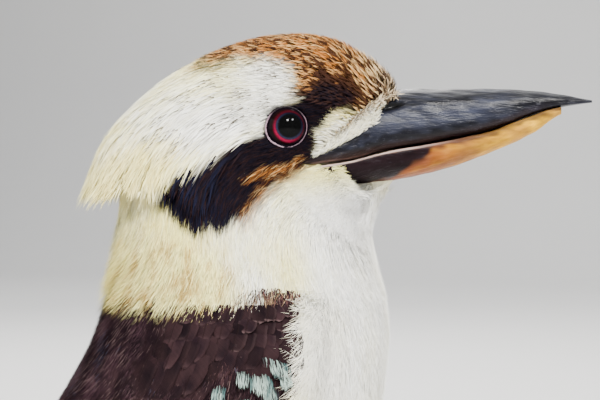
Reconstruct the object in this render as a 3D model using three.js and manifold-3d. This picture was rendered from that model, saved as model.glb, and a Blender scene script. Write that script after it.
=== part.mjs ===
// A laughing kookaburra at life size, standing upright on its toes and tail tip with its wings folded.
// Millimetres. +X is the way the bill points and +Z is up. The bird is alike on both sides of Y = 0.
import * as THREE from "three";
import { mergeVertices } from "three/addons/utils/BufferGeometryUtils.js";
import Module from "manifold-3d";

const wasm = await Module();
wasm.setup();

// Driving sizes
const GAP = 0.3; // clearance between pieces that touch
const REACH = 600; // longer than the bird, for the blocks that part it
const SURFACE_STEP = 0.01; // step for slopes measured on a surface

// Each row is one section through head, neck and trunk, from the bill back to the tail root:
// back x, back z, belly x, belly z, half width, fullness, narrowing towards the back.
const BODY = [
  [62, 230.5, 61.5, 203.5, 7.2, 0.1, 0], // feather edge round the bill
  [56, 238.5, 56.3, 195.5, 10.8, 0.05, -0.3], // forehead and chin
  [38, 248.5, 54.2, 189.2, 15.6, 0.05, -0.45], // brow and throat
  [14, 248.2, 53.2, 185.9, 23, 0.2, -0.12], // crown and eyes
  [-13, 237.2, 53.2, 182, 28, 0.25, 0.08], // back of the crown and cheeks
  [-29, 217, 54.6, 177, 32.5, 0.22, 0.12], // nape
  [-29.5, 192, 56.6, 169, 37, 0.2, 0.08], // neck
  [-30.5, 172, 58.3, 159, 40.5, 0.2, 0.02], // collar
  [-32.5, 151, 57.4, 141, 43, 0.18, 0], // shoulders
  [-50, 124, 50.8, 108.5, 44.5, 0.15, 0], // breast
  [-77, 97, 29, 77, 41.5, 0.12, 0], // belly
  [-99.5, 79, -10, 60.5, 33.5, 0.1, 0.05], // thighs
  [-112, 69.3, -52, 54.8, 23.5, 0.1, 0.1], // vent
  [-126, 61, -106, 52, 12, 0.1, 0.1], // tail root
];
const BODY_ROW_STEP = 0.46;
const BODY_END_STEP = 0.1; // rows that a grown body runs on past the tail root, per mm of growth
const BODY_SIDES = 22;

// The bed that the folded wings lie on: the trunk, then a taper on to the wing tips.
const WING_BED = [
  [-30.5, 172, 58.3, 159, 41.1, 0.2, 0.02], // collar
  [-32.5, 151, 57.4, 141, 43.6, 0.18, 0], // shoulders
  [-50, 124, 50.8, 108.5, 45.1, 0.15, 0], // breast
  [-77, 97.2, 29, 77, 42.6, 0.12, 0], // belly
  [-101, 81, -12, 62, 37, 0.1, 0], // thighs
  [-120, 72.5, -62, 58.5, 31, 0.1, 0], // vent
  [-140, 66, -103, 57, 25, 0.1, 0], // tail root
  [-163, 59, -141, 52, 18, 0.1, 0], // wing tips
];

// Planes that part the body, each through a point at the back and one at the front: [x, z].
const NECK_CUT = { back: [-34, 191.5], front: [56, 180] };
const COLLAR_CUT = { back: [-36, 163], front: [60, 157.5] };

// Each row is one section through the bill: x, culmen z, mouth line z, keel z, half width.
const BILL = [
  [33, 208.9, 206.6, 203.8, 20.8], // root in the head, and corner of the mouth
  [41, 212.8, 207.7, 201.8, 21.2],
  [50, 222.5, 209.2, 201.6, 18.2],
  [61, 231, 212.2, 203.3, 13.7],
  [76, 231.3, 214.8, 206.6, 10.3],
  [91, 231.1, 218, 211.8, 7.4],
  [103, 230.2, 222.6, 217.2, 4.9],
  [111, 228.9, 224.9, 222.6, 3],
  [120.7, 226.9, 226.1, 225.4, 0.7], // tip
];
const UPPER_BILL_END = 8; // row where the upper bill ends
const LOWER_BILL_END = 7.08; // row where the lower bill ends, short of the hooked tip
const BILL_ROW_STEP = 0.5;
const BILL_SIDES = 16;
const NOSTRIL = { x: 61.5, y: 9.2, z: 225.3, long: 3, wide: 1.6, tall: 0.9, slope: 0.22 };

const EYE = {
  radius: 8.6, // eyeball
  opening: 5.8, // ring of bare lid round the visible eye
  lid: 0.7, // thickness of the lid
  x: 31.8,
  z: 218.6,
  depth: 22.2, // plane of the lids, out from the middle of the head
  turn: THREE.MathUtils.degToRad(15), // how far the eye looks ahead of sideways
};

// Crest feathers at the back of the crown, in tiers from the lowest up.
const CREST_TIERS = [
  { count: 6, spread: 78, root: 4.15, reach: 1.65, width: 14 },
  { count: 5, spread: 64, root: 3.8, reach: 1.6, width: 14 },
  { count: 4, spread: 46, root: 3.4, reach: 1.5, width: 14 },
];
// How the crest stands off the nape: nothing at the first row, its full height at the last.
const CREST = { firstRow: 3.7, lastRow: 5.75, height: 12.4, growth: 1.9, thick: 0.7, sunkRoot: 2.2, layer: 0.85 };

// Rows of feathers of a folded wing. Angles are degrees from the middle of the back towards the belly.
// Position along the wing is counted in rows of WING_BED. Number 0 is the outermost, at the belly side.
const PRIMARIES = 5;
const SECONDARIES = 5;
const FLIGHT = { width: 14.5, thick: 0.5, root: 1.2, rest: 0.9, tip: 0.5, rootRow: [1.25, 2.25],
  rootAngle: [115, 44], tipAngle: [102, 24] };
const GREATER_COVERTS = { count: 5, width: 17.5, thick: 0.5, root: 2, rest: 3.9, tip: 3.7, rootRow: [0.95, 1.75],
  rootAngle: [115, 52], tipRow: [2.75, 3.3], tipAngle: [111, 44] };
const MEDIAN_COVERTS = { count: 5, width: 16, thick: 0.5, root: 2.4, rest: 5.6, tip: 5.6, rootRow: [0.6, 1.15],
  rootAngle: [116, 62], tipRow: [1.75, 2.3], tipAngle: [113, 54] };
const SCAPULARS = { count: 4, width: 27, thick: 0.5, root: 2.6, rest: 6, tip: 4.2, rootRow: [0.45, 0.6],
  rootAngle: [82, 18], tipRow: [2.4, 3.15], tipAngle: [78, 21] };
const SHINGLE_GAP = 0.7; // air between a feather and the one it overlaps
// The folded wing is at its full height between two angles and thins to the least share at its edges.
const WING_HEIGHT = { backEdge: 8, backFull: 52, frontFull: 102, frontEdge: 130, least: 0.5 };
// The flesh and small feathers of the folded arm: height over the bed by place along the wing.
const ARM = { firstRow: 0.12, lastRow: 2.75, frontAngle: 123, backAngle: 10, height: 4.2, floor: 0.7 };

// Tail of twelve feathers, the middle pair on top, with coverts above and below.
const TAIL = {
  pairs: 6,
  rootX: -117, rootZ: 61.5, // where the quills leave the rump
  slope: THREE.MathUtils.degToRad(25.4),
  length: [152, 132], // middle pair, outer pair
  width: [21, 17],
  spread: 25, // side shift of the outer pair's tip
  thick: 0.6,
  drop: 0.95, // each pair lies this far under the one inside it
  camber: 0.0035, // fall of the fan towards its sides, per mm
};
const TAIL_COVERTS = { count: 4, length: 48, width: 15, spread: 8.5, thick: 0.6 };

// One foot. Toe headings are degrees outwards from straight ahead.
const HIP = { x: -26, y: 19, z: 78, radius: 18 };
const ANKLE = { x: -22, y: 22.5, z: 29, radius: 3.5 };
const FOOT = { x: -7, y: 23.5, z: 5.6, radius: 3.8 };
const TOES = [
  { name: "inner", heading: -24, length: 22, radius: 2.7, claw: 9 },
  { name: "middle", heading: 0, length: 31, radius: 3, claw: 10.5 },
  { name: "outer", heading: 13, length: 27, radius: 2.8, claw: 9.5 },
  { name: "hind", heading: 174, length: 18, radius: 2.9, claw: 10 },
];
const TOE_SIDES = 8;
const SCUTES = 4; // along each toe and along the shank
const SCUTE_STEP = 0.12; // each scute's free edge stands this share of the radius proud

const lerp = THREE.MathUtils.lerp;
const clamp = THREE.MathUtils.clamp;
const radians = THREE.MathUtils.degToRad;

// Solids

// A closed triangle list as a solid, turned to face out.
function solidOf(points, triangles) {
  let volume = 0;
  for (const [a, b, c] of triangles)
    volume += points[a].dot(new THREE.Vector3().crossVectors(points[b], points[c]));
  const facing = volume < 0 ? triangles.map(([a, b, c]) => [a, c, b]) : triangles;
  return new wasm.Manifold(
    new wasm.Mesh({
      numProp: 3,
      vertProperties: new Float32Array(points.flatMap((p) => p.toArray())),
      triVerts: new Uint32Array(facing.flat()),
    }),
  );
}

// A three.js geometry, placed by a matrix, as a solid.
function solidFromGeometry(geometry, matrix = new THREE.Matrix4()) {
  const bare = new THREE.BufferGeometry().setAttribute("position", geometry.getAttribute("position").clone());
  bare.setIndex(geometry.index);
  const merged = mergeVertices(bare.applyMatrix4(matrix), 1e-4);
  const at = merged.getAttribute("position");
  const points = Array.from({ length: at.count }, (_, i) => new THREE.Vector3().fromBufferAttribute(at, i));
  const triangles = [];
  for (let i = 0; i < merged.index.count; i += 3) {
    const [a, b, c] = [0, 1, 2].map((k) => merged.index.getX(i + k));
    if (a !== b && b !== c && a !== c) triangles.push([a, b, c]);
  }
  return solidOf(points, triangles);
}

// A tube through rings of points, closed at both ends. otherSplit(j) turns the diagonal of side j.
function tube(rings, otherSplit = () => false) {
  const count = rings[0].length;
  const points = rings.flat();
  const triangles = [];
  for (let i = 0; i + 1 < rings.length; i++)
    for (let j = 0; j < count; j++) {
      const [a, b] = [i * count + j, i * count + ((j + 1) % count)];
      const [d, c] = [a + count, b + count];
      if (otherSplit(j)) triangles.push([a, b, d], [b, c, d]);
      else triangles.push([a, b, c], [a, c, d]);
    }
  for (const [ring, first] of [[rings[0], 0], [rings.at(-1), (rings.length - 1) * count]]) {
    const middle = points.length;
    points.push(ring.reduce((sum, p) => sum.add(p), new THREE.Vector3()).divideScalar(count));
    for (let j = 0; j < count; j++) {
      const [a, b] = [first + j, first + ((j + 1) % count)];
      triangles.push(first ? [a, b, middle] : [b, a, middle]);
    }
  }
  return solidOf(points, triangles);
}

function union(solids) {
  return wasm.Manifold.union(solids);
}

// The largest closed surface of a solid.
function largest(solid) {
  return solid.decompose().reduce((best, piece) => (piece.volume() > best.volume() ? piece : best));
}

// Everything below the plane through two points of the middle plane, as a block.
function blockBelow(cut, lift) {
  const [x0, z0] = cut.back;
  const [x1, z1] = cut.front;
  const place = new THREE.Matrix4()
    .makeTranslation((x0 + x1) / 2, 0, (z0 + z1) / 2)
    .multiply(new THREE.Matrix4().makeRotationY(-Math.atan2(z1 - z0, x1 - x0)))
    .multiply(new THREE.Matrix4().makeTranslation(0, 0, lift - REACH / 2));
  return solidFromGeometry(new THREE.BoxGeometry(REACH, REACH, REACH), place);
}

// Surfaces

function spline(a, b, c, d, u) {
  const bend = (2 * a - 5 * b + 4 * c - d) * u * u + (3 * b - a - 3 * c + d) * u * u * u;
  return 0.5 * (2 * b + (c - a) * u + bend);
}

// A table's values at a fractional row number, on a smooth curve through its rows.
function rowAt(rows, t) {
  const last = rows.length - 1;
  const k = clamp(Math.floor(t), 0, last - 1);
  const row = (i) => {
    if (i < 0) return rows[0].map((v, j) => 2 * v - rows[1][j]);
    if (i > last) return rows[last].map((v, j) => 2 * v - rows[last - 1][j]);
    return rows[i];
  };
  const [a, b, c, d] = [row(k - 1), row(k), row(k + 1), row(k + 2)];
  return b.map((_, j) => spline(a[j], b[j], c[j], d[j], t - k));
}

function bareShellPoint(rows, t, angle) {
  const [backX, backZ, bellyX, bellyZ, halfWidth, fullness, narrowing] = rowAt(rows, t);
  const [c, s] = [Math.cos(angle), Math.sin(angle)];
  return new THREE.Vector3(
    (backX + bellyX + (backX - bellyX) * c) / 2,
    halfWidth * s * (1 + fullness * c * c) * (1 - narrowing * c),
    (backZ + bellyZ + (backZ - bellyZ) * c) / 2,
  );
}

// A point over a body surface: angle 0 is the middle of the back, 90 degrees the left side.
function shellPoint(rows, t, angle, height = 0) {
  const point = bareShellPoint(rows, t, angle);
  const [h, r] = [SURFACE_STEP, rows];
  const along = bareShellPoint(r, t + h, angle).sub(bareShellPoint(r, t - h, angle));
  const round = bareShellPoint(r, t, angle + h).sub(bareShellPoint(r, t, angle - h));
  return point.addScaledVector(round.cross(along).normalize(), height);
}

// How far the surface runs per radian round it, in millimetres.
function roundness(rows, t, angle) {
  const h = SURFACE_STEP;
  return bareShellPoint(rows, t, angle + h).distanceTo(bareShellPoint(rows, t, angle - h)) / (2 * h);
}

// Feathers

const VANE_STEPS = [0, 0.45, 0.84, 1];
const SHORT_VANE_STEPS = [0, 0.45, 0.86, 1];

// Share of a vane's full width at s along it: narrow at the quill, round at the tip.
function vaneWidth(s, shoulder = 0.7) {
  const fromQuill = Math.min(1, 0.45 + 2.2 * s);
  const past = clamp((s - shoulder) / (1.04 - shoulder), 0, 1);
  return fromQuill * Math.sqrt(1 - past * past);
}

// One vane. place(s, b, h) is the point s along it, b millimetres across it and h millimetres over its bed.
function vane(steps, width, thick, place) {
  const rings = steps.map((s) => {
    const half = (width * vaneWidth(s)) / 2;
    const thickness = s === 1 ? thick * 0.6 : thick;
    const upper = [-half, 0, half].map((b) => place(s, b, thickness));
    const lower = [half, -half].map((b) => place(s, b, 0));
    return [...upper, ...lower];
  });
  return tube(rings, (side) => side === 3);
}

// One vane laid on a body surface. path(s) gives its row, angle, height and sideways slope at s.
function laidVane(rows, steps, width, thick, path) {
  return vane(steps, width, thick, (s, b, h) => {
    const { row, angle, height, slope } = path(s);
    const turned = angle + b / roundness(rows, row, angle);
    return shellPoint(rows, row, turned, height + h + slope * b);
  });
}

// Head, neck and trunk

function bodyShell(grow) {
  const rings = [];
  const lastRow = BODY.length - 1 + grow * BODY_END_STEP;
  const count = Math.round(lastRow / BODY_ROW_STEP);
  for (let i = 0; i <= count; i++)
    rings.push(
      Array.from({ length: BODY_SIDES }, (_, j) =>
        shellPoint(BODY, (i / count) * lastRow, (2 * Math.PI * j) / BODY_SIDES, grow),
      ),
    );
  return tube(rings);
}

function powerOf(value, power) {
  return Math.sign(value) * Math.abs(value) ** power;
}

// One half of the bill. The mouth line is nearly flat between square edges, and the outside is round.
function billHalf(isUpper, grow) {
  const lastRow = isUpper ? UPPER_BILL_END : LOWER_BILL_END;
  const count = Math.round(lastRow / BILL_ROW_STEP);
  const rings = [];
  for (let i = 0; i <= count; i++) {
    const [x, culmen, mouth, keel, halfWidth] = rowAt(BILL, (i / count) * lastRow);
    const inner = mouth + ((isUpper ? 1 : -1) * GAP) / 2;
    const outer = isUpper ? culmen : Math.min(keel, inner - 0.5);
    const widest = lerp(inner, outer, isUpper ? 0.34 : 0.28);
    rings.push(
      Array.from({ length: BILL_SIDES }, (_, j) => {
        const around = (2 * Math.PI * j) / BILL_SIDES;
        const [c, s] = [Math.cos(around), Math.sin(around)];
        const power = c > 0 ? 2 / 2.1 : 2 / 4.5;
        const reach = (c > 0 ? outer : inner) - widest;
        const away = Math.sign(reach) * grow;
        const z = widest + Math.abs(powerOf(c, power)) * (reach + away);
        const pastEnd = i === 0 ? -grow : i === count ? grow : 0;
        return new THREE.Vector3(x + pastEnd, (halfWidth + grow) * powerOf(s, power), z);
      }),
    );
  }
  return tube(rings);
}

function upperBill() {
  const nostril = new THREE.SphereGeometry(1, 9, 6);
  const slits = [1, -1].map((side) =>
    solidFromGeometry(
      nostril,
      new THREE.Matrix4().compose(
        new THREE.Vector3(NOSTRIL.x, side * NOSTRIL.y, NOSTRIL.z),
        new THREE.Quaternion().setFromAxisAngle(new THREE.Vector3(0, 1, 0), -NOSTRIL.slope),
        new THREE.Vector3(NOSTRIL.long, NOSTRIL.wide, NOSTRIL.tall),
      ),
    ),
  );
  return largest(billHalf(true, 0).subtract(union(slits)));
}

// Frame of one eye: its origin is in the plane of the lids and its z axis looks out.
function eyeFrame(side) {
  const out = new THREE.Vector3(Math.sin(EYE.turn), side * Math.cos(EYE.turn), 0);
  const up = new THREE.Vector3(0, 0, 1);
  return new THREE.Matrix4()
    .makeBasis(new THREE.Vector3().crossVectors(up, out), up, out)
    .setPosition(EYE.x, side * EYE.depth, EYE.z);
}

function eyeball(side, grow) {
  const sunk = Math.sqrt(EYE.radius ** 2 - EYE.opening ** 2);
  const place = eyeFrame(side).multiply(new THREE.Matrix4().makeTranslation(0, 0, -sunk));
  return solidFromGeometry(new THREE.SphereGeometry(EYE.radius + grow, 14, 10), place);
}

function lidRing(side) {
  const ring = new THREE.TorusGeometry(EYE.opening + EYE.lid * 0.55, EYE.lid, 5, 16);
  return solidFromGeometry(ring, eyeFrame(side));
}

// How far the crest stands off the head at a row and a share of its spread to the side.
function crestRise(row, sideways) {
  const grown = clamp((row - CREST.firstRow) / (CREST.lastRow - CREST.firstRow), 0, 1.1);
  return CREST.height * grown ** CREST.growth * (1 - 0.8 * sideways);
}

// One tier of the crest: feathers that start flat on the crown and stand off the nape at their tips.
function crestTier({ count, spread, root, reach, width }, tier) {
  return Array.from({ length: count }, (_, i) => {
    const across = count > 1 ? (2 * i) / (count - 1) - 1 : 0;
    const sideways = Math.abs(across) ** 1.5;
    const level = CREST.layer * (tier + 0.5 * (i % 2));
    const lengthShare = 1 - 0.1 * ((i + tier) % 2) - 0.15 * sideways;
    return laidVane(BODY, SHORT_VANE_STEPS, width, CREST.thick, (s) => {
      const row = root + reach * lengthShare * s;
      return {
        row,
        angle: radians(spread * across) * (1 - 0.1 * s),
        height: crestRise(row, sideways) + level - (CREST.sunkRoot + level) * (1 - Math.min(1, 4 * s)),
        slope: 0,
      };
    });
  });
}

function headParts() {
  const whole = bodyShell(0);
  const head = whole.subtract(blockBelow(NECK_CUT, GAP / 2));
  const neck = whole.subtract(blockBelow(COLLAR_CUT, GAP / 2)).intersect(blockBelow(NECK_CUT, -GAP / 2));
  const trunk = whole.intersect(blockBelow(COLLAR_CUT, -GAP / 2));
  const underCrest = bodyShell(GAP).intersect(blockBelow(NECK_CUT, GAP / 2));
  const hollows = [underCrest, billHalf(true, GAP), billHalf(false, GAP), eyeball(1, GAP), eyeball(-1, GAP)];
  const feathered = union([head, lidRing(1), lidRing(-1), ...CREST_TIERS.flatMap(crestTier)]);
  return {
    head: largest(feathered.subtract(union(hollows))),
    neck: largest(neck),
    trunk: largest(trunk),
  };
}

// Wings, made for the left side

// Share of its full height that the folded wing has at an angle round the bird.
function wingHeight(angle) {
  const { backEdge, backFull, frontFull, frontEdge, least } = WING_HEIGHT;
  const degrees = THREE.MathUtils.radToDeg(angle);
  const fromBack = THREE.MathUtils.smoothstep(degrees, backEdge, backFull);
  const fromFront = 1 - THREE.MathUtils.smoothstep(degrees, frontFull, frontEdge);
  return lerp(least, 1, fromBack * fromFront);
}

// Where flight feather i ends, in rows of the bed: the primaries pass the secondaries.
function flightTipRow(i) {
  if (i < PRIMARIES) return 6.55 - 0.1 * Math.abs(i - 2) ** 1.6;
  const f = (i - PRIMARIES) / (SECONDARIES - 1);
  return 5.3 - 0.95 * f ** 2.2;
}

// A row of feathers laid like shingles: each feather's belly edge lies over its outer neighbour.
function shingleRow(count, steps, spec, tipRowOf) {
  const heightOf = archOf(spec);
  const pathOf = (i) => {
    const f = i / (count - 1);
    return (s) => ({
      row: lerp(lerp(...spec.rootRow, f), tipRowOf(i, f), s),
      angle: radians(lerp(lerp(...spec.rootAngle, f), lerp(...spec.tipAngle, f), s)),
    });
  };
  return Array.from({ length: count }, (_, i) => {
    const [own, next] = [pathOf(i), pathOf(i + 1)];
    return laidVane(WING_BED, steps, spec.width, spec.thick, (s) => {
      const { row, angle } = own(s);
      const pitch = Math.abs(next(s).angle - angle) * roundness(WING_BED, row, angle);
      const slope = (spec.thick + SHINGLE_GAP) / Math.max(pitch, 2.2);
      const lift = (slope * spec.width * vaneWidth(s)) / 2;
      return { row, angle, slope, height: heightOf(s) * wingHeight(angle) + lift };
    });
  });
}

// The arm of the folded wing under its small feathers.
function wingArm() {
  const rowsAlong = 6;
  const rowsAcross = 7;
  const at = (i, j, isTop) => {
    const [u, v] = [i / rowsAlong, j / rowsAcross];
    const row = lerp(ARM.firstRow, ARM.lastRow, u);
    const angle = radians(lerp(ARM.backAngle, ARM.frontAngle, v));
    const dome = Math.sqrt(Math.max(0, 1 - (2 * v - 1) ** 6)) * Math.min(1, 5 * u + 0.2) * (1 - u ** 2.5);
    const height = ARM.floor + (isTop ? 0.5 + ARM.height * dome * wingHeight(angle) : 0);
    return shellPoint(WING_BED, row, angle, height);
  };
  const rings = Array.from({ length: rowsAlong + 1 }, (_, i) => [
    ...Array.from({ length: rowsAcross + 1 }, (_, j) => at(i, j, true)),
    ...Array.from({ length: rowsAcross + 1 }, (_, j) => at(i, rowsAcross - j, false)),
  ]);
  return tube(rings, (side) => side > rowsAcross);
}

// Height of a feather along its length: up from the skin to its resting height, then down to its tip.
function archOf({ root, rest, tip }) {
  return (s) => (s < 0.45 ? lerp(root, rest, s / 0.45) : lerp(rest, tip, (s - 0.45) / 0.55));
}

function wing(cutters) {
  const coverts = (spec) =>
    shingleRow(spec.count, SHORT_VANE_STEPS, spec, (_, f) => lerp(...spec.tipRow, f));
  const flight = shingleRow(PRIMARIES + SECONDARIES, VANE_STEPS, FLIGHT, flightTipRow);
  const pieces = [wingArm(), ...flight, ...coverts(GREATER_COVERTS), ...coverts(MEDIAN_COVERTS), ...coverts(SCAPULARS)];
  return largest(union(pieces).subtract(cutters));
}

// Tail

// A point of the tail fan: distance out from the root, place across it, level of the feather's bed in
// the fan and height over that bed. The bed goes no lower than the floor, so the tip rests flat on it.
function tailPoint(out, across, level, height) {
  const bed = TAIL.rootZ - out * Math.sin(TAIL.slope) - TAIL.camber * across * across + level;
  return new THREE.Vector3(TAIL.rootX - out * Math.cos(TAIL.slope), across, Math.max(bed, 0) + height);
}

function tailFeather(pair, side) {
  const f = pair / (TAIL.pairs - 1);
  const length = lerp(...TAIL.length, f ** 1.6);
  const under = -(pair * 2 + (side > 0 ? 0 : 1)) * (TAIL.drop / 2 + 0.02) - (side > 0 ? 0 : 0.45);
  return vane(VANE_STEPS, lerp(...TAIL.width, f), TAIL.thick, (s, b, h) => {
    const across = side * (1.5 + pair * 1.6 + (TAIL.spread - pair * 1.1) * f * s) + b;
    return tailPoint(length * s - 6, across, under, h);
  });
}

function tailCoverts(isUpper) {
  const { count, length, width, spread, thick } = TAIL_COVERTS;
  return Array.from({ length: count }, (_, i) => {
    const across = (2 * i) / (count - 1) - 1;
    const level = (isUpper ? 1 : -1) * (1.2 + (1 - Math.abs(across)) * 1.6);
    const stack = isUpper ? 1.4 : -TAIL.drop * TAIL.pairs - 1.6;
    return vane(SHORT_VANE_STEPS, width, thick, (s, b, h) =>
      tailPoint(length * (1 - 0.25 * Math.abs(across)) * s - 6, spread * across * (1 + 0.5 * s) + b,
        (stack + level) * (1 - 0.25 * s), h));
  });
}

// The fleshy root that holds the quills.
function tailRoot() {
  const rings = [-7, -3, 4, 12, 19, 24].map((out, i) => {
    const tall = [7.5, 7.2, 6.2, 4.6, 3, 1.6][i];
    const wide = [11, 12, 13, 13, 11.5, 8][i];
    return Array.from({ length: 14 }, (_, j) => {
      const around = (2 * Math.PI * j) / 14;
      return tailPoint(out, wide * Math.sin(around), -2.6 + tall * Math.cos(around), 0);
    });
  });
  return tube(rings);
}

function tail(trunkGrown) {
  const feathers = [];
  for (let pair = 0; pair < TAIL.pairs; pair++) feathers.push(tailFeather(pair, 1), tailFeather(pair, -1));
  const pieces = [tailRoot(), ...feathers, ...tailCoverts(true), ...tailCoverts(false)];
  return largest(union(pieces).subtract(trunkGrown));
}

// Legs, made for the left side

// A round limb along a curve. radiusAt(s) is its radius and the floor flattens what would pass it.
function limb(curve, stations, sides, radiusAt, grow = 0) {
  const rings = [];
  for (const s of stations) {
    const centre = curve.getPoint(s);
    const along = curve.getTangent(s);
    const across = new THREE.Vector3(0, 1, 0).addScaledVector(along, -along.y).normalize();
    const up = new THREE.Vector3().crossVectors(across, along).normalize();
    rings.push(
      Array.from({ length: sides }, (_, j) => {
        const around = (2 * Math.PI * (j + 0.5)) / sides;
        const radius = radiusAt(s, around) + grow;
        const point = centre.clone();
        point.addScaledVector(across, radius * Math.sin(around)).addScaledVector(up, radius * Math.cos(around));
        point.z = Math.max(point.z, 0);
        return point;
      }),
    );
  }
  return tube(rings);
}

function vectorOf({ x, y, z }) {
  return new THREE.Vector3(x, y, z);
}

function evenStations(count) {
  return Array.from({ length: count + 1 }, (_, i) => i / count);
}

// Stations just before and after the free edge of each scute.
const SCUTE_STATIONS = [
  0,
  ...evenStations(SCUTES).slice(1, -1).flatMap((s) => [s - 0.012, s + 0.012]),
  1,
];

// Saw-tooth share of a scaled skin: each scute rises along the toe and drops at its free edge.
function scuted(s) {
  return 1 + SCUTE_STEP * ((s * SCUTES) % 1);
}

function shank(grow) {
  const knee = vectorOf(ANKLE).add(new THREE.Vector3(3, 0.5, 7));
  const curve = new THREE.CatmullRomCurve3([knee, vectorOf(ANKLE), vectorOf(FOOT)]);
  return limb(curve, SCUTE_STATIONS, TOE_SIDES, (s) => lerp(ANKLE.radius, FOOT.radius, s) * scuted(s), grow);
}

function toeCurve(toe) {
  const heading = radians(toe.heading);
  const ahead = new THREE.Vector3(Math.cos(heading), Math.sin(heading), 0);
  const start = vectorOf(FOOT).setZ(toe.radius * 0.85);
  const middle = start.clone().addScaledVector(ahead, toe.length * 0.5).setZ(toe.radius * 0.72);
  const end = start.clone().addScaledVector(ahead, toe.length).setZ(toe.radius * 0.6);
  return new THREE.CatmullRomCurve3([start, middle, end]);
}

function toe(spec) {
  return limb(toeCurve(spec), SCUTE_STATIONS, TOE_SIDES, (s, around) => {
    const top = Math.cos(around) > 0 ? scuted(s) : 1;
    return spec.radius * (1 - 0.3 * s) * top;
  });
}

function claw(spec) {
  const curve = toeCurve(spec);
  const ahead = curve.getTangent(1).setZ(0).normalize();
  const start = curve.getPoint(1).addScaledVector(ahead, GAP);
  const point = (out, z) => start.clone().addScaledVector(ahead, out * spec.claw).setZ(z);
  const arc = new THREE.CatmullRomCurve3([start, point(0.45, start.z + 0.7), point(0.85, start.z - 0.6), point(1, 0.35)]);
  return limb(arc, evenStations(5), 5, (s) => lerp(1.35, 0.25, s ** 0.8));
}

function foot() {
  const ball = new THREE.SphereGeometry(FOOT.radius, 8, 6);
  const place = new THREE.Matrix4().makeTranslation(FOOT.x, FOOT.y, FOOT.radius + GAP);
  return largest(union([shank(0), solidFromGeometry(ball, place), ...TOES.map(toe)]));
}

function thighCone(grow) {
  const middle = new THREE.Vector3(-20, 23.5, 54);
  const low = vectorOf(ANKLE).add(new THREE.Vector3(2, 0.5, 3));
  const curve = new THREE.CatmullRomCurve3([vectorOf(HIP), middle, low]);
  return limb(curve, evenStations(6), 14, (s) => lerp(HIP.radius, 5.5, s ** 1.2), grow);
}

function thigh(trunkGrown) {
  return largest(thighCone(0).subtract(union([trunkGrown, shank(GAP)])));
}

// The bird

function meshOf(solid, material) {
  const { vertProperties, triVerts, numProp } = solid.getMesh();
  const points = new Float32Array((vertProperties.length / numProp) * 3);
  for (let i = 0; i < points.length / 3; i++)
    points.set(vertProperties.subarray(i * numProp, i * numProp + 3), i * 3);
  const geometry = new THREE.BufferGeometry();
  geometry.setAttribute("position", new THREE.BufferAttribute(points, 3));
  geometry.setIndex(new THREE.BufferAttribute(triVerts, 1));
  geometry.computeVertexNormals();
  return new THREE.Mesh(geometry, material);
}

function finish(colour, roughness) {
  return new THREE.MeshStandardMaterial({ color: colour, roughness, metalness: 0 });
}

const CREAM = finish(0xe9e2cf, 0.95);
const BROWN = finish(0x3a2a26, 0.85);
const RUFOUS = finish(0x8a5634, 0.85);
const HORN_DARK = finish(0x23232b, 0.45);
const HORN_PALE = finish(0xc79a6b, 0.5);
const EYE_DARK = finish(0x1b0f14, 0.08);
const SKIN = finish(0x6e6a60, 0.8);

function addPart(group, name, solid, material) {
  const mesh = meshOf(solid, material);
  mesh.name = name;
  group.add(mesh);
  return mesh;
}

// A left-hand part and its mirror image.
function addPair(group, name, solid, material) {
  addPart(group, `${name}_left`, solid, material);
  const right = addPart(group, `${name}_right`, solid, material);
  right.scale.y = -1;
}

function kookaburra() {
  const bird = new THREE.Group();
  const { head, neck, trunk } = headParts();
  const trunkGrown = bodyShell(GAP).intersect(blockBelow(COLLAR_CUT, GAP));
  const tailSolid = tail(trunkGrown);
  const rightHalf = new THREE.Matrix4().makeTranslation(0, (GAP - REACH) / 2, 0);
  const underWing = union([
    solidFromGeometry(new THREE.BoxGeometry(REACH, REACH, REACH), rightHalf),
    bodyShell(GAP),
    thighCone(GAP),
    tailSolid,
    tailSolid.translate([0, 0, GAP]),
    tailSolid.translate([0, GAP, 0]),
  ]);
  addPart(bird, "head", head, CREAM);
  addPart(bird, "bill_upper", upperBill(), HORN_DARK);
  addPart(bird, "bill_lower", largest(billHalf(false, 0)), HORN_PALE);
  addPart(bird, "neck", neck, CREAM);
  addPart(bird, "torso", trunk, CREAM);
  addPart(bird, "tail", tailSolid, RUFOUS);
  addPair(bird, "eye", eyeball(1, 0), EYE_DARK);
  addPair(bird, "wing", wing(underWing), BROWN);
  addPair(bird, "thigh", thigh(trunkGrown), CREAM);
  addPair(bird, "foot", foot(), SKIN);
  for (const spec of TOES) addPair(bird, `claw_${spec.name}`, claw(spec), HORN_DARK);

  // The frame's origin is on the floor under the middle of the bird's length.
  const box = new THREE.Box3().setFromObject(bird);
  bird.position.x = -(box.min.x + box.max.x) / 2;
  return bird;
}

export default kookaburra();
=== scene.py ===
"""Looks of a life-size laughing kookaburra: plumage, bill, eyes and feet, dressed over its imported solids.

Lengths are millimetres in the bird's own frame until a mesh is made: x forward along the bill, y to the
bird's left and z up from the floor. A place on a surface has a row number, which grows from bill to tail,
and an angle in radians from the middle of the back. The same angle in degrees, alike on both sides, is
called a turn.
"""

import logging
import math
from dataclasses import dataclass, fields, replace
from enum import Enum
from typing import Any, Callable, Sequence

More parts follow.
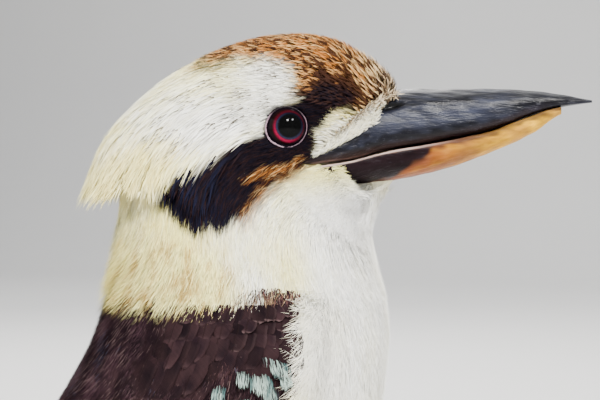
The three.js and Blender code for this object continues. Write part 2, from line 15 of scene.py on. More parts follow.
import bpy
import numpy as np
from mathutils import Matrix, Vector


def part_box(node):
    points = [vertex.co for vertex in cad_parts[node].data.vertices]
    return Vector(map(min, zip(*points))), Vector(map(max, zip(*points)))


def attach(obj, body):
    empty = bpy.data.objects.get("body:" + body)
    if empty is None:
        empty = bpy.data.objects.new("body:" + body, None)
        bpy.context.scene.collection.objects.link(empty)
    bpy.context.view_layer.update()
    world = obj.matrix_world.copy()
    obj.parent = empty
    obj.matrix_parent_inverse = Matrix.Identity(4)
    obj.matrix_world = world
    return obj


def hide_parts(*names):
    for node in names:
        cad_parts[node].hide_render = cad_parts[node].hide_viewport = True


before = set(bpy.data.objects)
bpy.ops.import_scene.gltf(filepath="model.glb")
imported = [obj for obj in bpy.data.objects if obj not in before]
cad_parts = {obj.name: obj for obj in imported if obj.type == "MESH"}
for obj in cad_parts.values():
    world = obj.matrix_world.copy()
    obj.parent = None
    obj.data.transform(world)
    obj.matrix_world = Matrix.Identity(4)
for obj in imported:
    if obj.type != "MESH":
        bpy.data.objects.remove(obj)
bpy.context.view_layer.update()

log = logging.getLogger("kookaburra")

Array = np.ndarray
Colour = tuple[float, float, float]
Span = tuple[float, float]
Outline = tuple[tuple[float, float], ...]
Field = Callable[[Array, Array], Array]

MM_PER_METRE = 1000
BILL_TIP_X = 120.7
SHIFT = np.array([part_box("bill_upper")[1].x * MM_PER_METRE - BILL_TIP_X, 0.0, 0.0])
TINT_LIMITS = (0.002, 0.95)  # darkest and palest colour that a vertex carries
ALL_ROUND = (-180.0, 180.0)
EVEN_STEPS = np.array([0.7548776662, 0.5698402909])  # scatter pairs of numbers evenly


class Side(Enum):
    """The bird's two sides."""

    LEFT = "left"
    RIGHT = "right"


# Small maths


def ease(low: float | Array, high: float | Array, value: Array) -> Array:
    """Rises smoothly from 0 at low to 1 at high."""
    share = np.clip((value - low) / (high - low), 0, 1)
    return share * share * (3 - 2 * share)


def mix(a: Any, b: Any, share: Array) -> Array:
    """Blends a towards b, per point, by a share from 0 to 1."""
    share = np.asarray(share)[..., None]
    return np.asarray(a) * (1 - share) + np.asarray(b) * share


def unit(vectors: Array) -> Array:
    """Vectors scaled to length one."""
    return vectors / np.maximum(np.linalg.norm(vectors, axis=-1, keepdims=True), 1e-9)


def wobble(points: Array, size: float, seed: int) -> Array:
    """A smooth random field, the sum of a few waves that cross.

    Args:
        points: Places in millimetres, one per row.
        size: Rough distance between humps in millimetres.
        seed: Picks the field.

    Returns:
        One value per point, mostly between -1 and 1.
    """
    waves, spread = 7, 2.8
    rng = np.random.default_rng(seed)
    total = np.zeros(len(points))
    for _ in range(waves):
        direction = unit(rng.normal(size=3)) * rng.uniform(0.6, 1.5) * 2 * math.pi / size
        total += np.sin(points @ direction + rng.uniform(0, 2 * math.pi))
    return total / spread


def even_pairs(count: int, seed: int) -> Array:
    """Evenly scattered pairs of numbers from 0 to 1."""
    index = np.arange(count) + seed * 977
    return (0.5 + index[:, None] * EVEN_STEPS) % 1


def turn_of(angle: Array) -> Array:
    """Degrees from the middle of the back, alike on both sides."""
    return np.abs(np.degrees(np.arctan2(np.sin(angle), np.cos(angle))))


# Meshes


@dataclass
class Sheet:
    """Vertices, triangles or quads, and what each vertex carries for its finish.

    tint is its colour, along its share of the way from root to tip, lay its place on its own feather and
    patch its place on the unwrap.
    """

    points: Array
    faces: Array
    tint: Array
    along: Array
    lay: Array
    patch: Array

    @staticmethod
    def joined(sheets: Sequence["Sheet"]) -> "Sheet":
        """Several sheets as one.

        Args:
            sheets: The sheets, all of quads or all of triangles.

        Returns:
            The whole.
        """
        starts = np.cumsum([0] + [len(s.points) for s in sheets[:-1]])
        moved = [replace(s, faces=s.faces + start) for s, start in zip(sheets, starts)]
        return Sheet(*(np.concatenate([getattr(s, part.name) for s in moved]) for part in fields(Sheet)))

    def mirrored(self) -> "Sheet":
        """The same sheet on the bird's other side."""
        patch = self.patch * [-1, 1] + [1, 0]
        return replace(self, points=self.points * [1, -1, 1], faces=self.faces[:, ::-1], patch=patch)

    def on(self, side: Side) -> "Sheet":
        """The sheet of the left side as it is on either side."""
        return self if side is Side.LEFT else self.mirrored()

    def build(self, name: str, finish: "Finish", slot: str, smooth: bool = False) -> bpy.types.Object:
        """Makes the Blender object.

        Args:
            name: Name of the object.
            finish: What dresses it.
            slot: Not used; names the material slot of the record that the piece belongs to.
            smooth: Whether its faces are shaded smooth.

        Returns:
            The object, fixed to the bird.
        """
        mesh = bpy.data.meshes.new(name)
        mesh.from_pydata((self.points + SHIFT) / MM_PER_METRE, [], self.faces)
        if smooth:
            mesh.shade_smooth()
        rgba = np.column_stack([np.clip(self.tint, *TINT_LIMITS), np.ones(len(self.tint))])
        carried = (
            ("tint", "FLOAT_COLOR", "color", rgba),
            ("along", "FLOAT", "value", self.along),
            ("lay", "FLOAT_VECTOR", "vector", self.lay),
        )
        for key, kind, part, values in carried:
            data = mesh.attributes.new(key, kind, "POINT").data
            data.foreach_set(part, values.astype(np.float32).ravel())
        corners = np.empty(len(mesh.loops), np.int32)
        mesh.loops.foreach_get("vertex_index", corners)
        uv = mesh.uv_layers.new(name="OFBake")
        uv.data.foreach_set("uv", self.patch[corners].astype(np.float32).ravel())
        mesh.materials.append(finish.material())
        piece = bpy.data.objects.new(name, mesh)
        bpy.context.scene.collection.objects.link(piece)
        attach(piece, "root")
        log.info("%s: %d faces", name, len(self.faces))
        return piece


def grid(u: Array, v: Array) -> tuple[Array, Array]:
    """All pairs of two sets of values, as two flat arrays in row order."""
    first, second = np.meshgrid(u, v, indexing="ij")
    return first.ravel(), second.ravel()


def circle(count: int) -> Array:
    """Angles evenly spaced once round."""
    return np.linspace(0, 2 * math.pi, count, endpoint=False)


def unwrap(angle: Array, level: Array) -> Array:
    """Places on the unwrap of something round."""
    return np.stack([angle / (2 * math.pi), level], axis=1)


def grid_faces(rows: int, columns: int, closed: bool) -> Array:
    """Quads over a grid of points, in row order.

    Args:
        rows: Number of rows.
        columns: Number of points in a row.
        closed: Whether each row closes on itself.

    Returns:
        Four point numbers per quad.
    """
    i, j = np.meshgrid(np.arange(rows - 1), np.arange(columns if closed else columns - 1), indexing="ij")
    a = i * columns + j
    b = i * columns + (j + 1) % columns
    return np.stack([a, b, b + columns, a + columns], axis=-1).reshape(-1, 4)


def split_quads(quads: Array) -> Array:
    """Each quad as two triangles."""
    return np.concatenate([quads[:, [0, 1, 2]], quads[:, [0, 2, 3]]])


def tube_ends(rings: int, sides: int) -> Array:
    """Triangles that close a tube whose two middle points follow its rings.

    Args:
        rings: Number of rings.
        sides: Points round each ring.

    Returns:
        Three point numbers per triangle.
    """
    ring = np.arange(sides)
    after = (ring + 1) % sides
    count, last = rings * sides, (rings - 1) * sides
    start = np.stack([np.full(sides, count), after, ring], axis=1)
    end = np.stack([np.full(sides, count + 1), last + ring, last + after], axis=1)
    return np.concatenate([start, end])


# Surfaces that feathers grow on


class Surface:
    """A surface given by a row number along the body and an angle round it."""

    step = 0.01

    def bare(self, row: Array, angle: Array) -> Array:
        """Points of the surface itself."""
        raise NotImplementedError

    def slopes(self, row: Array, angle: Array) -> tuple[Array, Array]:
        """How fast the surface moves.

        Args:
            row: Row number of each point.
            angle: Angle of each point.

        Returns:
            Movement per row and per radian.
        """
        h = self.step
        along = (self.bare(row + h, angle) - self.bare(row - h, angle)) / (2 * h)
        around = (self.bare(row, angle + h) - self.bare(row, angle - h)) / (2 * h)
        return along, around

    def place(self, row: Array, angle: Array, height: Array | float) -> tuple[Array, Array]:
        """Points over the surface.

        Args:
            row: Row number of each point.
            angle: Angle of each point.
            height: Height of each point over the surface.

        Returns:
            The points, and the outward direction at each.
        """
        along, around = self.slopes(row, angle)
        normal = unit(np.cross(around, along))
        return self.bare(row, angle) + normal * np.asarray(height)[..., None], normal


@dataclass(frozen=True)
class Shell(Surface):
    """A round form given by its sections, one after the other.

    A section is x and z of the back, x and z of the belly, half width, fullness and narrowing to the back.
    """

    rows: tuple[tuple[float, ...], ...]

    def section(self, row: Array) -> Array:
        """The section at any row number, on a smooth curve through the table.

        Args:
            row: Row numbers, which need not be whole.

        Returns:
            The values of the section at each.
        """
        table = np.array(self.rows, float)
        padded = np.vstack([2 * table[0] - table[1], table, 2 * table[-1] - table[-2]])
        k = np.clip(np.floor(row).astype(int), 0, len(table) - 2)
        u = (row - k)[..., None]
        a, b, c, d = (padded[k + i] for i in range(4))
        bend = (2 * a - 5 * b + 4 * c - d) * u**2 + (3 * b - a - 3 * c + d) * u**3
        return 0.5 * (2 * b + (c - a) * u + bend)

    def bare(self, row: Array, angle: Array) -> Array:
        """Points of the surface itself.

        Args:
            row: Row number of each point.
            angle: Angle of each point.

        Returns:
            One point each.
        """
        values = np.moveaxis(self.section(row), -1, 0)
        back_x, back_z, belly_x, belly_z, half_width, fullness, narrowing = values
        c, s = np.cos(angle), np.sin(angle)
        x = (back_x + belly_x + (back_x - belly_x) * c) / 2
        z = (back_z + belly_z + (back_z - belly_z) * c) / 2
        y = half_width * s * (1 + fullness * c * c) * (1 - narrowing * c)
        return np.stack([x, y, z], axis=-1)


BODY = Shell(
    (
        (62, 230.5, 61.5, 203.5, 7.2, 0.1, 0),
        (56, 238.5, 56.3, 195.5, 10.8, 0.05, -0.3),
        (38, 248.5, 54.2, 189.2, 15.6, 0.05, -0.45),
        (14, 248.2, 53.2, 185.9, 23, 0.2, -0.12),
        (-13, 237.2, 53.2, 182, 28, 0.25, 0.08),
        (-29, 217, 54.6, 177, 32.5, 0.22, 0.12),
        (-29.5, 192, 56.6, 169, 37, 0.2, 0.08),
        (-30.5, 172, 58.3, 159, 40.5, 0.2, 0.02),
        (-32.5, 151, 57.4, 141, 43, 0.18, 0),
        (-50, 124, 50.8, 108.5, 44.5, 0.15, 0),
        (-77, 97, 29, 77, 41.5, 0.12, 0),
        (-99.5, 79, -10, 60.5, 33.5, 0.1, 0.05),
        (-112, 69.3, -52, 54.8, 23.5, 0.1, 0.1),
        (-126, 61, -106, 52, 12, 0.1, 0.1),
    )
)
BODY_ROWS = len(BODY.rows) - 1

# The bed of the folded wings. Its row 0 lies on the body's row 7.
WING_BED = Shell(
    (
        (-30.5, 172, 58.3, 159, 41.1, 0.2, 0.02),
        (-32.5, 151, 57.4, 141, 43.6, 0.18, 0),
        (-50, 124, 50.8, 108.5, 45.1, 0.15, 0),
        (-77, 97.2, 29, 77, 42.6, 0.12, 0),
        (-101, 81, -12, 62, 37, 0.1, 0),
        (-120, 72.5, -62, 58.5, 31, 0.1, 0),
        (-140, 66, -103, 57, 25, 0.1, 0),
        (-163, 59, -141, 52, 18, 0.1, 0),
    )
)
WING_FROM = 7
WING_ROWS = 8.0
# Row numbers on the wing's bed, and the height of shoulder and lap there.
SHOULDER_LEVELS = ((-0.45, -0.1, 0.3, 0.7, 1.4, 2.2, 3.2), (0.2, 0.9, 2.6, 5.4, 6.6, 6.2, 4.4))
LAP_LEVELS = ((-0.8, -0.55, -0.3, 0.1, 0.5, 1.4, 2.2, 3.2), (0.0, 0.9, 2.4, 3.9, 4.8, 5.2, 4.8, 3.6))


@dataclass(frozen=True)
class Raised(Surface):
    """Another surface, lifted by a height that varies over it."""

    base: Surface
    rise: Field

    def bare(self, row: Array, angle: Array) -> Array:
        """Points of the lifted surface."""
        return self.base.place(row, angle, self.rise(row, angle))[0]


def wing_height(angle: Array) -> Array:
    """Share of its full height that the folded wing has at an angle: it thins towards its edges."""
    turn = turn_of(angle)
    return 0.5 + 0.5 * ease(8, 52, turn) * ease(130, 102, turn)


def crest_rise(row: Array, angle: Array) -> Array:
    """How far the crest's outer feathers stand off the head."""
    grown = np.clip((row - 3.7) / 2.05, 0, 1.16)
    return 14.2 * grown**1.9 * (1 - 0.8 * np.clip(turn_of(angle) / 84, 0, 1) ** 1.5)


def shoulder_rise(row: Array, angle: Array) -> Array:
    """Height of the small feathers of the folded wing over its bed."""
    back = ease(0.4, 0.9, row) * ease(96, 84, turn_of(angle)) * 0.4
    return np.interp(row, *SHOULDER_LEVELS) * wing_height(angle) + back


def lap_rise(row: Array, angle: Array) -> Array:
    """Height of the breast's side feathers over the body, up to the level of the folded wing's edge."""
    level, turn = np.interp(row - WING_FROM, *LAP_LEVELS), turn_of(angle)
    return level * ease(142, 129.5, turn) * (1 + 0.3 * ease(129, 117, turn))


def chin_rise(row: Array, angle: Array) -> Array:
    """Height of the chin's feathers over the body, out to the side of the lower bill."""
    return 6.2 * ease(152, 121, turn_of(angle)) * ease(3.3, 2.1, row)


@dataclass(frozen=True)
class Thigh(Surface):
    """The feathered left thigh: a bent cone from the hip, row 0, down to the ankle, row 1."""

    joints: tuple[tuple[float, float, float], ...] = ((-26, 19, 78), (-20, 23.5, 54), (-20, 23, 31))
    radii: Span = (18, 5.5)

    def bare(self, row: Array, angle: Array) -> Array:
        """Points of the surface itself.

        Args:
            row: Row number of each point.
            angle: Angle of each point.

        Returns:
            One point each.
        """
        hip, middle, ankle = np.array(self.joints, float)
        s = row[..., None]
        centre = hip * (1 - s) * (1 - 2 * s) + middle * 4 * s * (1 - s) + ankle * s * (2 * s - 1)
        radius = self.radii[0] + (self.radii[1] - self.radii[0]) * np.clip(row, 0, 1) ** 1.2
        out = np.stack([np.cos(angle), -np.sin(angle), 0 * angle], axis=-1)
        return centre + out * radius[..., None]


# Markings of the coat


class SideChart:
    """A flat chart of the head's side, drawn from a point level with the eye and a little ahead of it."""

    azimuth = math.radians(15)
    distance = 345.0
    centre = np.array([30.0, 0.0, 197.0])
    middle = np.array([300.0, 200.0])
    unit_mm = 0.322

    @classmethod
    def of(cls, points: Array) -> Array:
        """Chart places of points, alike on both sides of the head.

        Args:
            points: Places in the bird's frame.

        Returns:
            Across and down the chart, per point.
        """
        near = np.stack([points[:, 0], -np.abs(points[:, 1]), points[:, 2]], axis=1) - cls.centre
        s, c = math.sin(cls.azimuth), math.cos(cls.azimuth)
        depth = cls.distance - (near[:, 0] * s - near[:, 1] * c)
        across = (near[:, 0] * c + near[:, 1] * s) * cls.distance / depth
        up = near[:, 2] * cls.distance / depth
        return cls.middle + np.stack([across / cls.unit_mm, -up / cls.unit_mm], axis=1)

    @classmethod
    def ragged(cls, points: Array, amount: float, sizes: Span, seed: int) -> Array:
        """Chart places moved about a little, which makes the outlines drawn with them ragged.

        Args:
            points: Places in the bird's frame.
            amount: How far they move in chart units.
            sizes: Distance between the humps of the movement across and down, in millimetres.
            seed: Picks the movement.

        Returns:
            Across and down the chart, per point.
        """
        moves = [wobble(points, size, seed + i) for i, size in enumerate(sizes)]
        return cls.of(points) + amount * np.stack(moves, axis=1)

    @staticmethod
    def inside(chart: Array, outline: Outline, soft: float) -> Array:
        """How far chart places are inside an outline.

        Args:
            chart: Chart places.
            outline: Corners of the outline in order.
            soft: Width of the blurred edge in chart units.

        Returns:
            0 outside, 1 inside, smooth between.
        """
        corners = np.array(outline, float)
        nearest = np.full(len(chart), np.inf)
        crossings = np.zeros(len(chart), int)
        for a, b in zip(corners, np.roll(corners, -1, axis=0)):
            edge = b - a
            share = np.clip(((chart - a) @ edge) / (edge @ edge), 0, 1)
            nearest = np.minimum(nearest, np.linalg.norm(chart - a - share[:, None] * edge, axis=1))
            spans = (a[1] > chart[:, 1]) != (b[1] > chart[:, 1])
            rise = edge[1] if edge[1] else 1e-9
            crossings += spans & (chart[:, 0] < a[0] + (chart[:, 1] - a[1]) * edge[0] / rise)
        signed = np.where(crossings % 2 == 1, nearest, -nearest)
        return ease(-soft, soft, signed)


@dataclass(frozen=True)
class Coat:
    """Colours of the plumage and the outlines of its markings on the side chart."""

    white: Colour = (0.92, 0.90, 0.82)
    cream: Colour = (0.90, 0.81, 0.29)
    milk: Colour = (0.95, 0.94, 0.90)
    ochre: Colour = (0.42, 0.24, 0.05)
    black: Colour = (0.005, 0.004, 0.007)
    soot: Colour = (0.030, 0.012, 0.008)
    # painted sheen: the blue on the rear of the black mask
    indigo: Colour = (0.008, 0.009, 0.022)
    rufous: Colour = (0.42, 0.15, 0.028)
    umber: Colour = (0.026, 0.011, 0.007)
    buff: Colour = (0.74, 0.50, 0.22)
    straw: Colour = (0.76, 0.63, 0.44)
    mantle: Colour = (0.010, 0.005, 0.007)
    fleck: Colour = (0.20, 0.14, 0.07)
    drab: Colour = (0.30, 0.24, 0.18)
    mask: Outline = (
        (312, 160), (317, 146), (318, 132), (326, 123), (336, 114), (350, 106), (354, 98), (347, 88),
        (335, 84), (320, 86), (310, 91), (301, 99), (292, 103), (280, 104), (271, 108), (264, 116),
        (261, 130), (258, 137), (247, 141), (230, 149), (213, 156), (197, 165), (180, 174), (165, 184),
        (156, 191), (160, 202), (170, 214), (183, 224), (195, 230), (210, 231), (223, 229), (236, 221),
        (248, 208), (262, 195), (273, 186), (287, 177), (304, 170),
    )
    dusk: Outline = (
        (284, 104), (300, 93), (311, 82), (328, 73), (350, 80), (366, 96), (358, 110), (330, 121),
        (304, 109),
    )
    streak: Outline = (
        (243, 176), (266, 167), (288, 161), (303, 153), (310, 157), (299, 168), (276, 174), (253, 180),
    )
    border: Outline = (
        (238, 218), (246, 202), (262, 188), (282, 174), (306, 166), (309, 173), (290, 182), (273, 194),
        (260, 206), (248, 222),
    )
    crown: Outline = (
        (188, 70), (222, 62), (249, 59), (272, 62), (288, 69), (298, 82), (296, 97), (320, 104), (340, 110),
        (362, 114), (378, 109), (404, 108), (412, 80), (385, 40), (330, 15), (262, 15), (214, 40),
    )
    brow: Outline = ((120, 110), (190, 70), (285, 62), (298, 96), (262, 118), (160, 168))
    nape: Outline = ((84, 160), (150, 140), (190, 152), (160, 186), (112, 204), (84, 200))
    collar: Outline = ((106, 252), (150, 236), (215, 250), (244, 296), (200, 322), (106, 320))
    throat: Outline = ((296, 190), (400, 182), (420, 620), (330, 620))
    collar_turns: tuple[float, ...] = (0, 50, 71, 83, 95, 101, 115, 124, 132)
    collar_rows: tuple[float, ...] = (7.3, 7.16, 7.1, 7.05, 7.0, 6.84, 6.62, 6.66, 6.8)

    def crowned(self, points: Array) -> Array:
        """How far places are in the brown crown, which narrows to a line towards the nape.

        Args:
            points: Places in the bird's frame.

        Returns:
            0 outside, 1 inside, smooth between.
        """
        chart = SideChart.ragged(points, 3, (8, 8), 1)
        half = np.interp(points[:, 0], [-36, -22, 0, 20, 40], [0.5, 3.2, 5.5, 10, 13])
        stripe = ease(half + 1.5, half - 1.0, np.abs(points[:, 1]) + wobble(points, 5, 8))
        return np.maximum(SideChart.inside(chart, self.crown, 8), stripe * (points[:, 2] > 214))

    def masked(self, points: Array) -> Array:
        """How far places are in the black mask."""
        return SideChart.inside(SideChart.ragged(points, 2.2, (7, 7), 11), self.mask, 4.0)

    def back_row(self, turn: Array) -> Array:
        """Row where the white collar ends over the dark back."""
        return np.interp(turn, self.collar_turns, self.collar_rows)

    def crown_colours(self, points: Array, chart: Array, chance: Array) -> Array:
        """Rufous, buff and umber of crown and forehead, darkening to the mask above the eye.

        Args:
            points: Places in the bird's frame.
            chart: Their chart places.
            chance: A number from 0 to 1 per place that picks among the colours mixed there.

        Returns:
            One colour per place.
        """
        forward = ease(338, 384, chart[:, 0] + 6 * wobble(points, 5, 6))
        rear = ease(262, 215, chart[:, 0])
        dusky = SideChart.inside(chart + 5 * wobble(points, 6, 15)[:, None], self.dusk, 15)
        rim = SideChart.inside(chart, self.crown, 26) ** 1.5
        dark = 0.40 + 0.18 * rear + 0.10 * rim + 0.03 * forward
        dark = dark + 0.24 * wobble(points, 4, 10) + 0.75 * dusky
        light = np.clip(1.6 * (chance - 0.66) + 0.68 * forward - 0.5 * dusky, 0, 1)
        brown = mix(mix(self.buff, self.rufous, np.clip(0.25 + rim, 0, 1)), self.buff, light)
        brown = mix(brown, self.straw, 0.7 * ease(366, 396, chart[:, 0]))
        brown = mix(brown, np.array(self.rufous) * 0.45, 0.6 * dusky)
        brown = mix(brown, self.umber, (chance < dark) * 0.93)
        return mix(brown, self.black, np.clip(dusky * 1.5 - 0.75, 0, 1) * 0.9)

    def pale(self, points: Array, row: Array, chart: Array, chance: Array) -> Array:
        """White of head, neck and breast, with its cream and its ochre stains.

        Args:
            points: Places in the bird's frame.
            row: Row number of each place on the body.
            chart: Their chart places.
            chance: Picks among the colours mixed at a place.

        Returns:
            One colour per place.
        """
        ragged = SideChart.ragged(points, 3.5, (9, 9), 1)
        brow = SideChart.inside(chart, self.brow, 8)
        warm = np.clip(0.5 + 0.32 * wobble(points, 26, 4) + 0.45 * (chance - 0.5) - 0.45 * brow, 0, 1)
        edge = mix(self.white, self.cream, warm * (1 - 0.6 * ease(7.0, 9.0, row)))
        nape = SideChart.inside(ragged, self.nape, 18)
        collar = SideChart.inside(ragged, self.collar, 18)
        stain = ease(-0.2, 0.6, wobble(points, 6, 5)) * ease(0.1, 0.6, chance)
        edge = mix(edge, self.cream, 0.85 * np.maximum(nape, collar))
        edge = mix(edge, self.ochre, 0.28 * nape * chance + 0.8 * collar * stain)
        throat = SideChart.inside(chart, self.throat, 20)
        return mix(edge, self.milk, 0.8 * throat * (1 - 0.6 * ease(7.4, 10.0, row)))

    def colours(self, points: Array, row: Array, angle: Array, chance: Array) -> tuple[Array, Array]:
        """Colours of the coat at given places.

        Args:
            points: Places in the bird's frame.
            row: Row number of each place on the body.
            angle: Angle round the body of each place.
            chance: A number from 0 to 1 per place that picks among the colours mixed there.

        Returns:
            The colour of the feather edges and that of their shafts.
        """
        chart = SideChart.of(points)
        edge = self.pale(points, row, chart, chance)
        shaft = edge * 0.94
        brow = SideChart.inside(chart, self.brow, 8)
        edge = mix(edge, self.fleck, 0.6 * brow * (chance > 0.985) * (wobble(points, 14, 9) > -0.3))

        crown = self.crowned(points)
        brown = self.crown_colours(points, chart, chance)
        forward = ease(338, 384, chart[:, 0])
        edge = mix(edge, brown, crown)
        shaft = mix(shaft, mix(self.umber, brown, 0.35 * forward), crown)

        mask = self.masked(points)
        sooty = mix(self.black, self.soot, ease(0.6, 0.95, chance) * 0.6)
        # Painted sheen: some blades towards the rear of the mask turn blue.
        sooty = mix(sooty, self.indigo, ease(250, 200, chart[:, 0]) * ease(0.5, 0.2, chance))
        edge = mix(edge, sooty, mask)
        shaft = mix(shaft, self.black, mask)
        ragged = SideChart.ragged(points, 3.5, (9, 9), 1)
        streak, border = SideChart.inside(ragged, self.streak, 3), SideChart.inside(ragged, self.border, 5)
        rust = np.maximum(streak, 0.7 * border)
        rusty = mix(np.array(self.rufous) * 0.8, self.buff, ease(0.78, 0.98, chance))
        rusty = mix(rusty, self.umber, (chance < 0.58) * 0.9)
        edge = mix(edge, rusty, rust)
        shaft = mix(shaft, rusty, rust * 0.8)
        return self.dark_back(points, row, angle, chance, edge, shaft)

    def dark_back(
        self, points: Array, row: Array, angle: Array, chance: Array, edge: Array, shaft: Array
    ) -> tuple[Array, Array]:
        """Adds the dark back, the barred rump and the faint bars of the flanks.

        Args:
            points: Places in the bird's frame.
            row: Row number of each place on the body.
            angle: Angle round the body of each place.
            chance: Picks among the colours mixed at a place.
            edge: Colour of the feather edges so far.
            shaft: Colour of the shafts so far.

        Returns:
            The colour of the feather edges and that of their shafts.
        """
        turn = turn_of(angle)
        start = self.back_row(turn) + 0.04 * wobble(points, 5, 19)
        back = ease(start, start + 0.12, row) * ease(128, 120, turn)
        bars = ease(0.0, 0.6, np.sin(row * 14 + wobble(points, 6, 13)))
        tone = mix(self.mantle, np.array(self.mantle) * 2.6, chance**3)
        dark = mix(tone, mix(tone, self.rufous, 0.75 * bars), ease(10.2, 11.2, row))
        edge = mix(edge, dark, back)
        shaft = mix(shaft, tone, back)
        flank = ease(8.8, 10.0, row) * ease(168, 140, turn) * (1 - back)
        bars = ease(0.2, 0.9, np.sin(row * 13 + wobble(points, 5, 14)))
        return mix(edge, self.drab, 0.35 * flank * bars), shaft


COAT = Coat()


# Shader expressions


class Value:
    """A shader socket that takes part in Python arithmetic."""

    def __init__(self, shader: "Shader", socket: bpy.types.NodeSocket) -> None:
        """Wraps a socket of a shader."""
        self.shader = shader
        self.socket = socket

    def _math(self, operation: str, *values: Any) -> "Value":
        """A Math node on sockets or numbers."""
        return self.shader.node("ShaderNodeMath", {"operation": operation}, dict(enumerate(values)))

    def __add__(self, other: Any) -> "Value":
        """Sum."""
        return self._math("ADD", self, other)

    __radd__ = __add__

    def __sub__(self, other: Any) -> "Value":
        """Difference."""
        return self._math("SUBTRACT", self, other)

    def __rsub__(self, other: Any) -> "Value":
        """Difference from a number."""
        return self._math("SUBTRACT", other, self)

    def __mul__(self, other: Any) -> "Value":
        """Product."""
        return self._math("MULTIPLY", self, other)

    __rmul__ = __mul__

    def sine(self) -> "Value":
        """Sine of an angle in radians."""
        return self._math("SINE", self)

    def absolute(self) -> "Value":
        """Without its sign."""
        return self._math("ABSOLUTE", self)

    def band(self, low: float, high: float) -> "Value":
        """Rises smoothly from 0 at low to 1 at high."""
        inputs = {"Value": self, "From Min": low, "From Max": high}
        return self.shader.node("ShaderNodeMapRange", {"interpolation_type": "SMOOTHSTEP"}, inputs)


class Shader:
    """A material's node tree."""

    def __init__(self, name: str) -> None:
        """Starts a material with a lone surface shader.

        Args:
            name: Name of the material.
        """
        self.material = bpy.data.materials.new(name)
        self.material.use_nodes = True
        self.tree = self.material.node_tree
        self.surface = self.tree.nodes["Principled BSDF"]

    def node(self, kind: str, settings: dict[str, Any], inputs: dict[Any, Any], output: Any = 0) -> Value:
        """Adds any node.

        Args:
            kind: The node's type.
            settings: Its settings, made before its sockets are filled.
            inputs: Values or links, by socket name or number.
            output: Name or number of the socket to hand back.

        Returns:
            That output.
        """
        made = self.tree.nodes.new(kind)
        for key, value in settings.items():
            setattr(made, key, value)
        for key, value in inputs.items():
            self._fill(made.inputs[key], value)
        return Value(self, made.outputs[output])

    def _fill(self, socket: bpy.types.NodeSocket, value: Any) -> None:
        """Links or sets one socket.

        Args:
            socket: The socket.
            value: Another socket, a number, a vector or a colour.
        """
        if isinstance(value, Value):
            self.tree.links.new(value.socket, socket)
        elif socket.type == "RGBA":
            socket.default_value = (*value, 1.0)
        else:
            socket.default_value = value

    def attribute(self, name: str, output: str = "Fac") -> Value:
        """What each vertex carries under a name."""
        return self.node("ShaderNodeAttribute", {"attribute_name": name}, {}, output)

    def place(self) -> Value:
        """The part's own coordinates."""
        return self.node("ShaderNodeTexCoord", {}, {}, "Object")

    def noise(self, scale: float, detail: float = 4.0, vector: Value | None = None) -> Value:
        """Cloudy noise from 0 to 1, over the part's own coordinates unless a vector is given."""
        inputs = {"Vector": vector or self.place(), "Scale": scale, "Detail": detail}
        return self.node("ShaderNodeTexNoise", {}, inputs, "Fac")

    def blend(self, share: Any, a: Any, b: Any, mode: str = "MIX") -> Value:
        """Two colours mixed."""
        settings = {"data_type": "RGBA", "blend_type": mode}
        return self.node("ShaderNodeMix", settings, {"Factor": share, 6: a, 7: b}, 2)

    def tinted(self, shade: Value) -> Value:
        """The colour that each vertex carries, times a shade."""
        grey = self.node("ShaderNodeCombineColor", {}, {0: shade, 1: shade, 2: shade})
        return self.blend(1.0, self.attribute("tint", "Color"), grey, "MULTIPLY")

    def relief(self, height: Value, strength: float, distance: float) -> Value:
        """Bump from a height."""
        inputs = {"Height": height, "Strength": strength, "Distance": distance}
        return self.node("ShaderNodeBump", {}, inputs)

    def dress(self, **sockets: Any) -> bpy.types.Material:
        """Fills the surface shader.

        Args:
            sockets: Values or links, by socket name with _ for its spaces.

        Returns:
            The finished material.
        """
        for name, value in sockets.items():
            self._fill(self.surface.inputs[name.replace("_", " ")], value)
        return self.material


# Finishes


class Finish:
    """A finish that makes its material once."""

    _made: dict[str, bpy.types.Material] = {}

    def material(self) -> bpy.types.Material:
        """The finish's material.

        Returns:
            The one made before, or else a new one.
        """
        key = repr(self)
        if key not in self._made:
            self._made[key] = self.compose()
        return self._made[key]

    def compose(self) -> bpy.types.Material:
        """Builds the material."""
        raise NotImplementedError


@dataclass(frozen=True)
class Clouded(Finish):
    """The colours of the vertices, a little clouded.

    Shade and roughness are the least, and what the cloud adds to it.
    """

    name: str
    scale: float
    shade: Span
    roughness: Span
    specular: float
    # painted shade: share of its tint that a blade keeps at its root
    root_shade: float = 1.0
    relief: float = 0.0
    relief_height: float = 0.0004

    def compose(self) -> bpy.types.Material:
        """Builds the material.

        Returns:
            The material.
        """
        shader = Shader(self.name)
        cloud = shader.noise(self.scale, 3.0)
        shade = cloud * self.shade[1] + self.shade[0]
        # Painted shade: blades darken towards their roots, where the coat over them shades them.
        if self.root_shade < 1:
            rise = shader.attribute("along").band(0.1, 0.7)
            shade = (rise * (1 - self.root_shade) + self.root_shade) * shade
        if self.relief:
            shader.dress(Normal=shader.relief(cloud, self.relief, self.relief_height))
        colour, rough = shader.tinted(shade), cloud * self.roughness[1] + self.roughness[0]
        return shader.dress(Base_Color=colour, Roughness=rough, Specular_IOR_Level=self.specular)


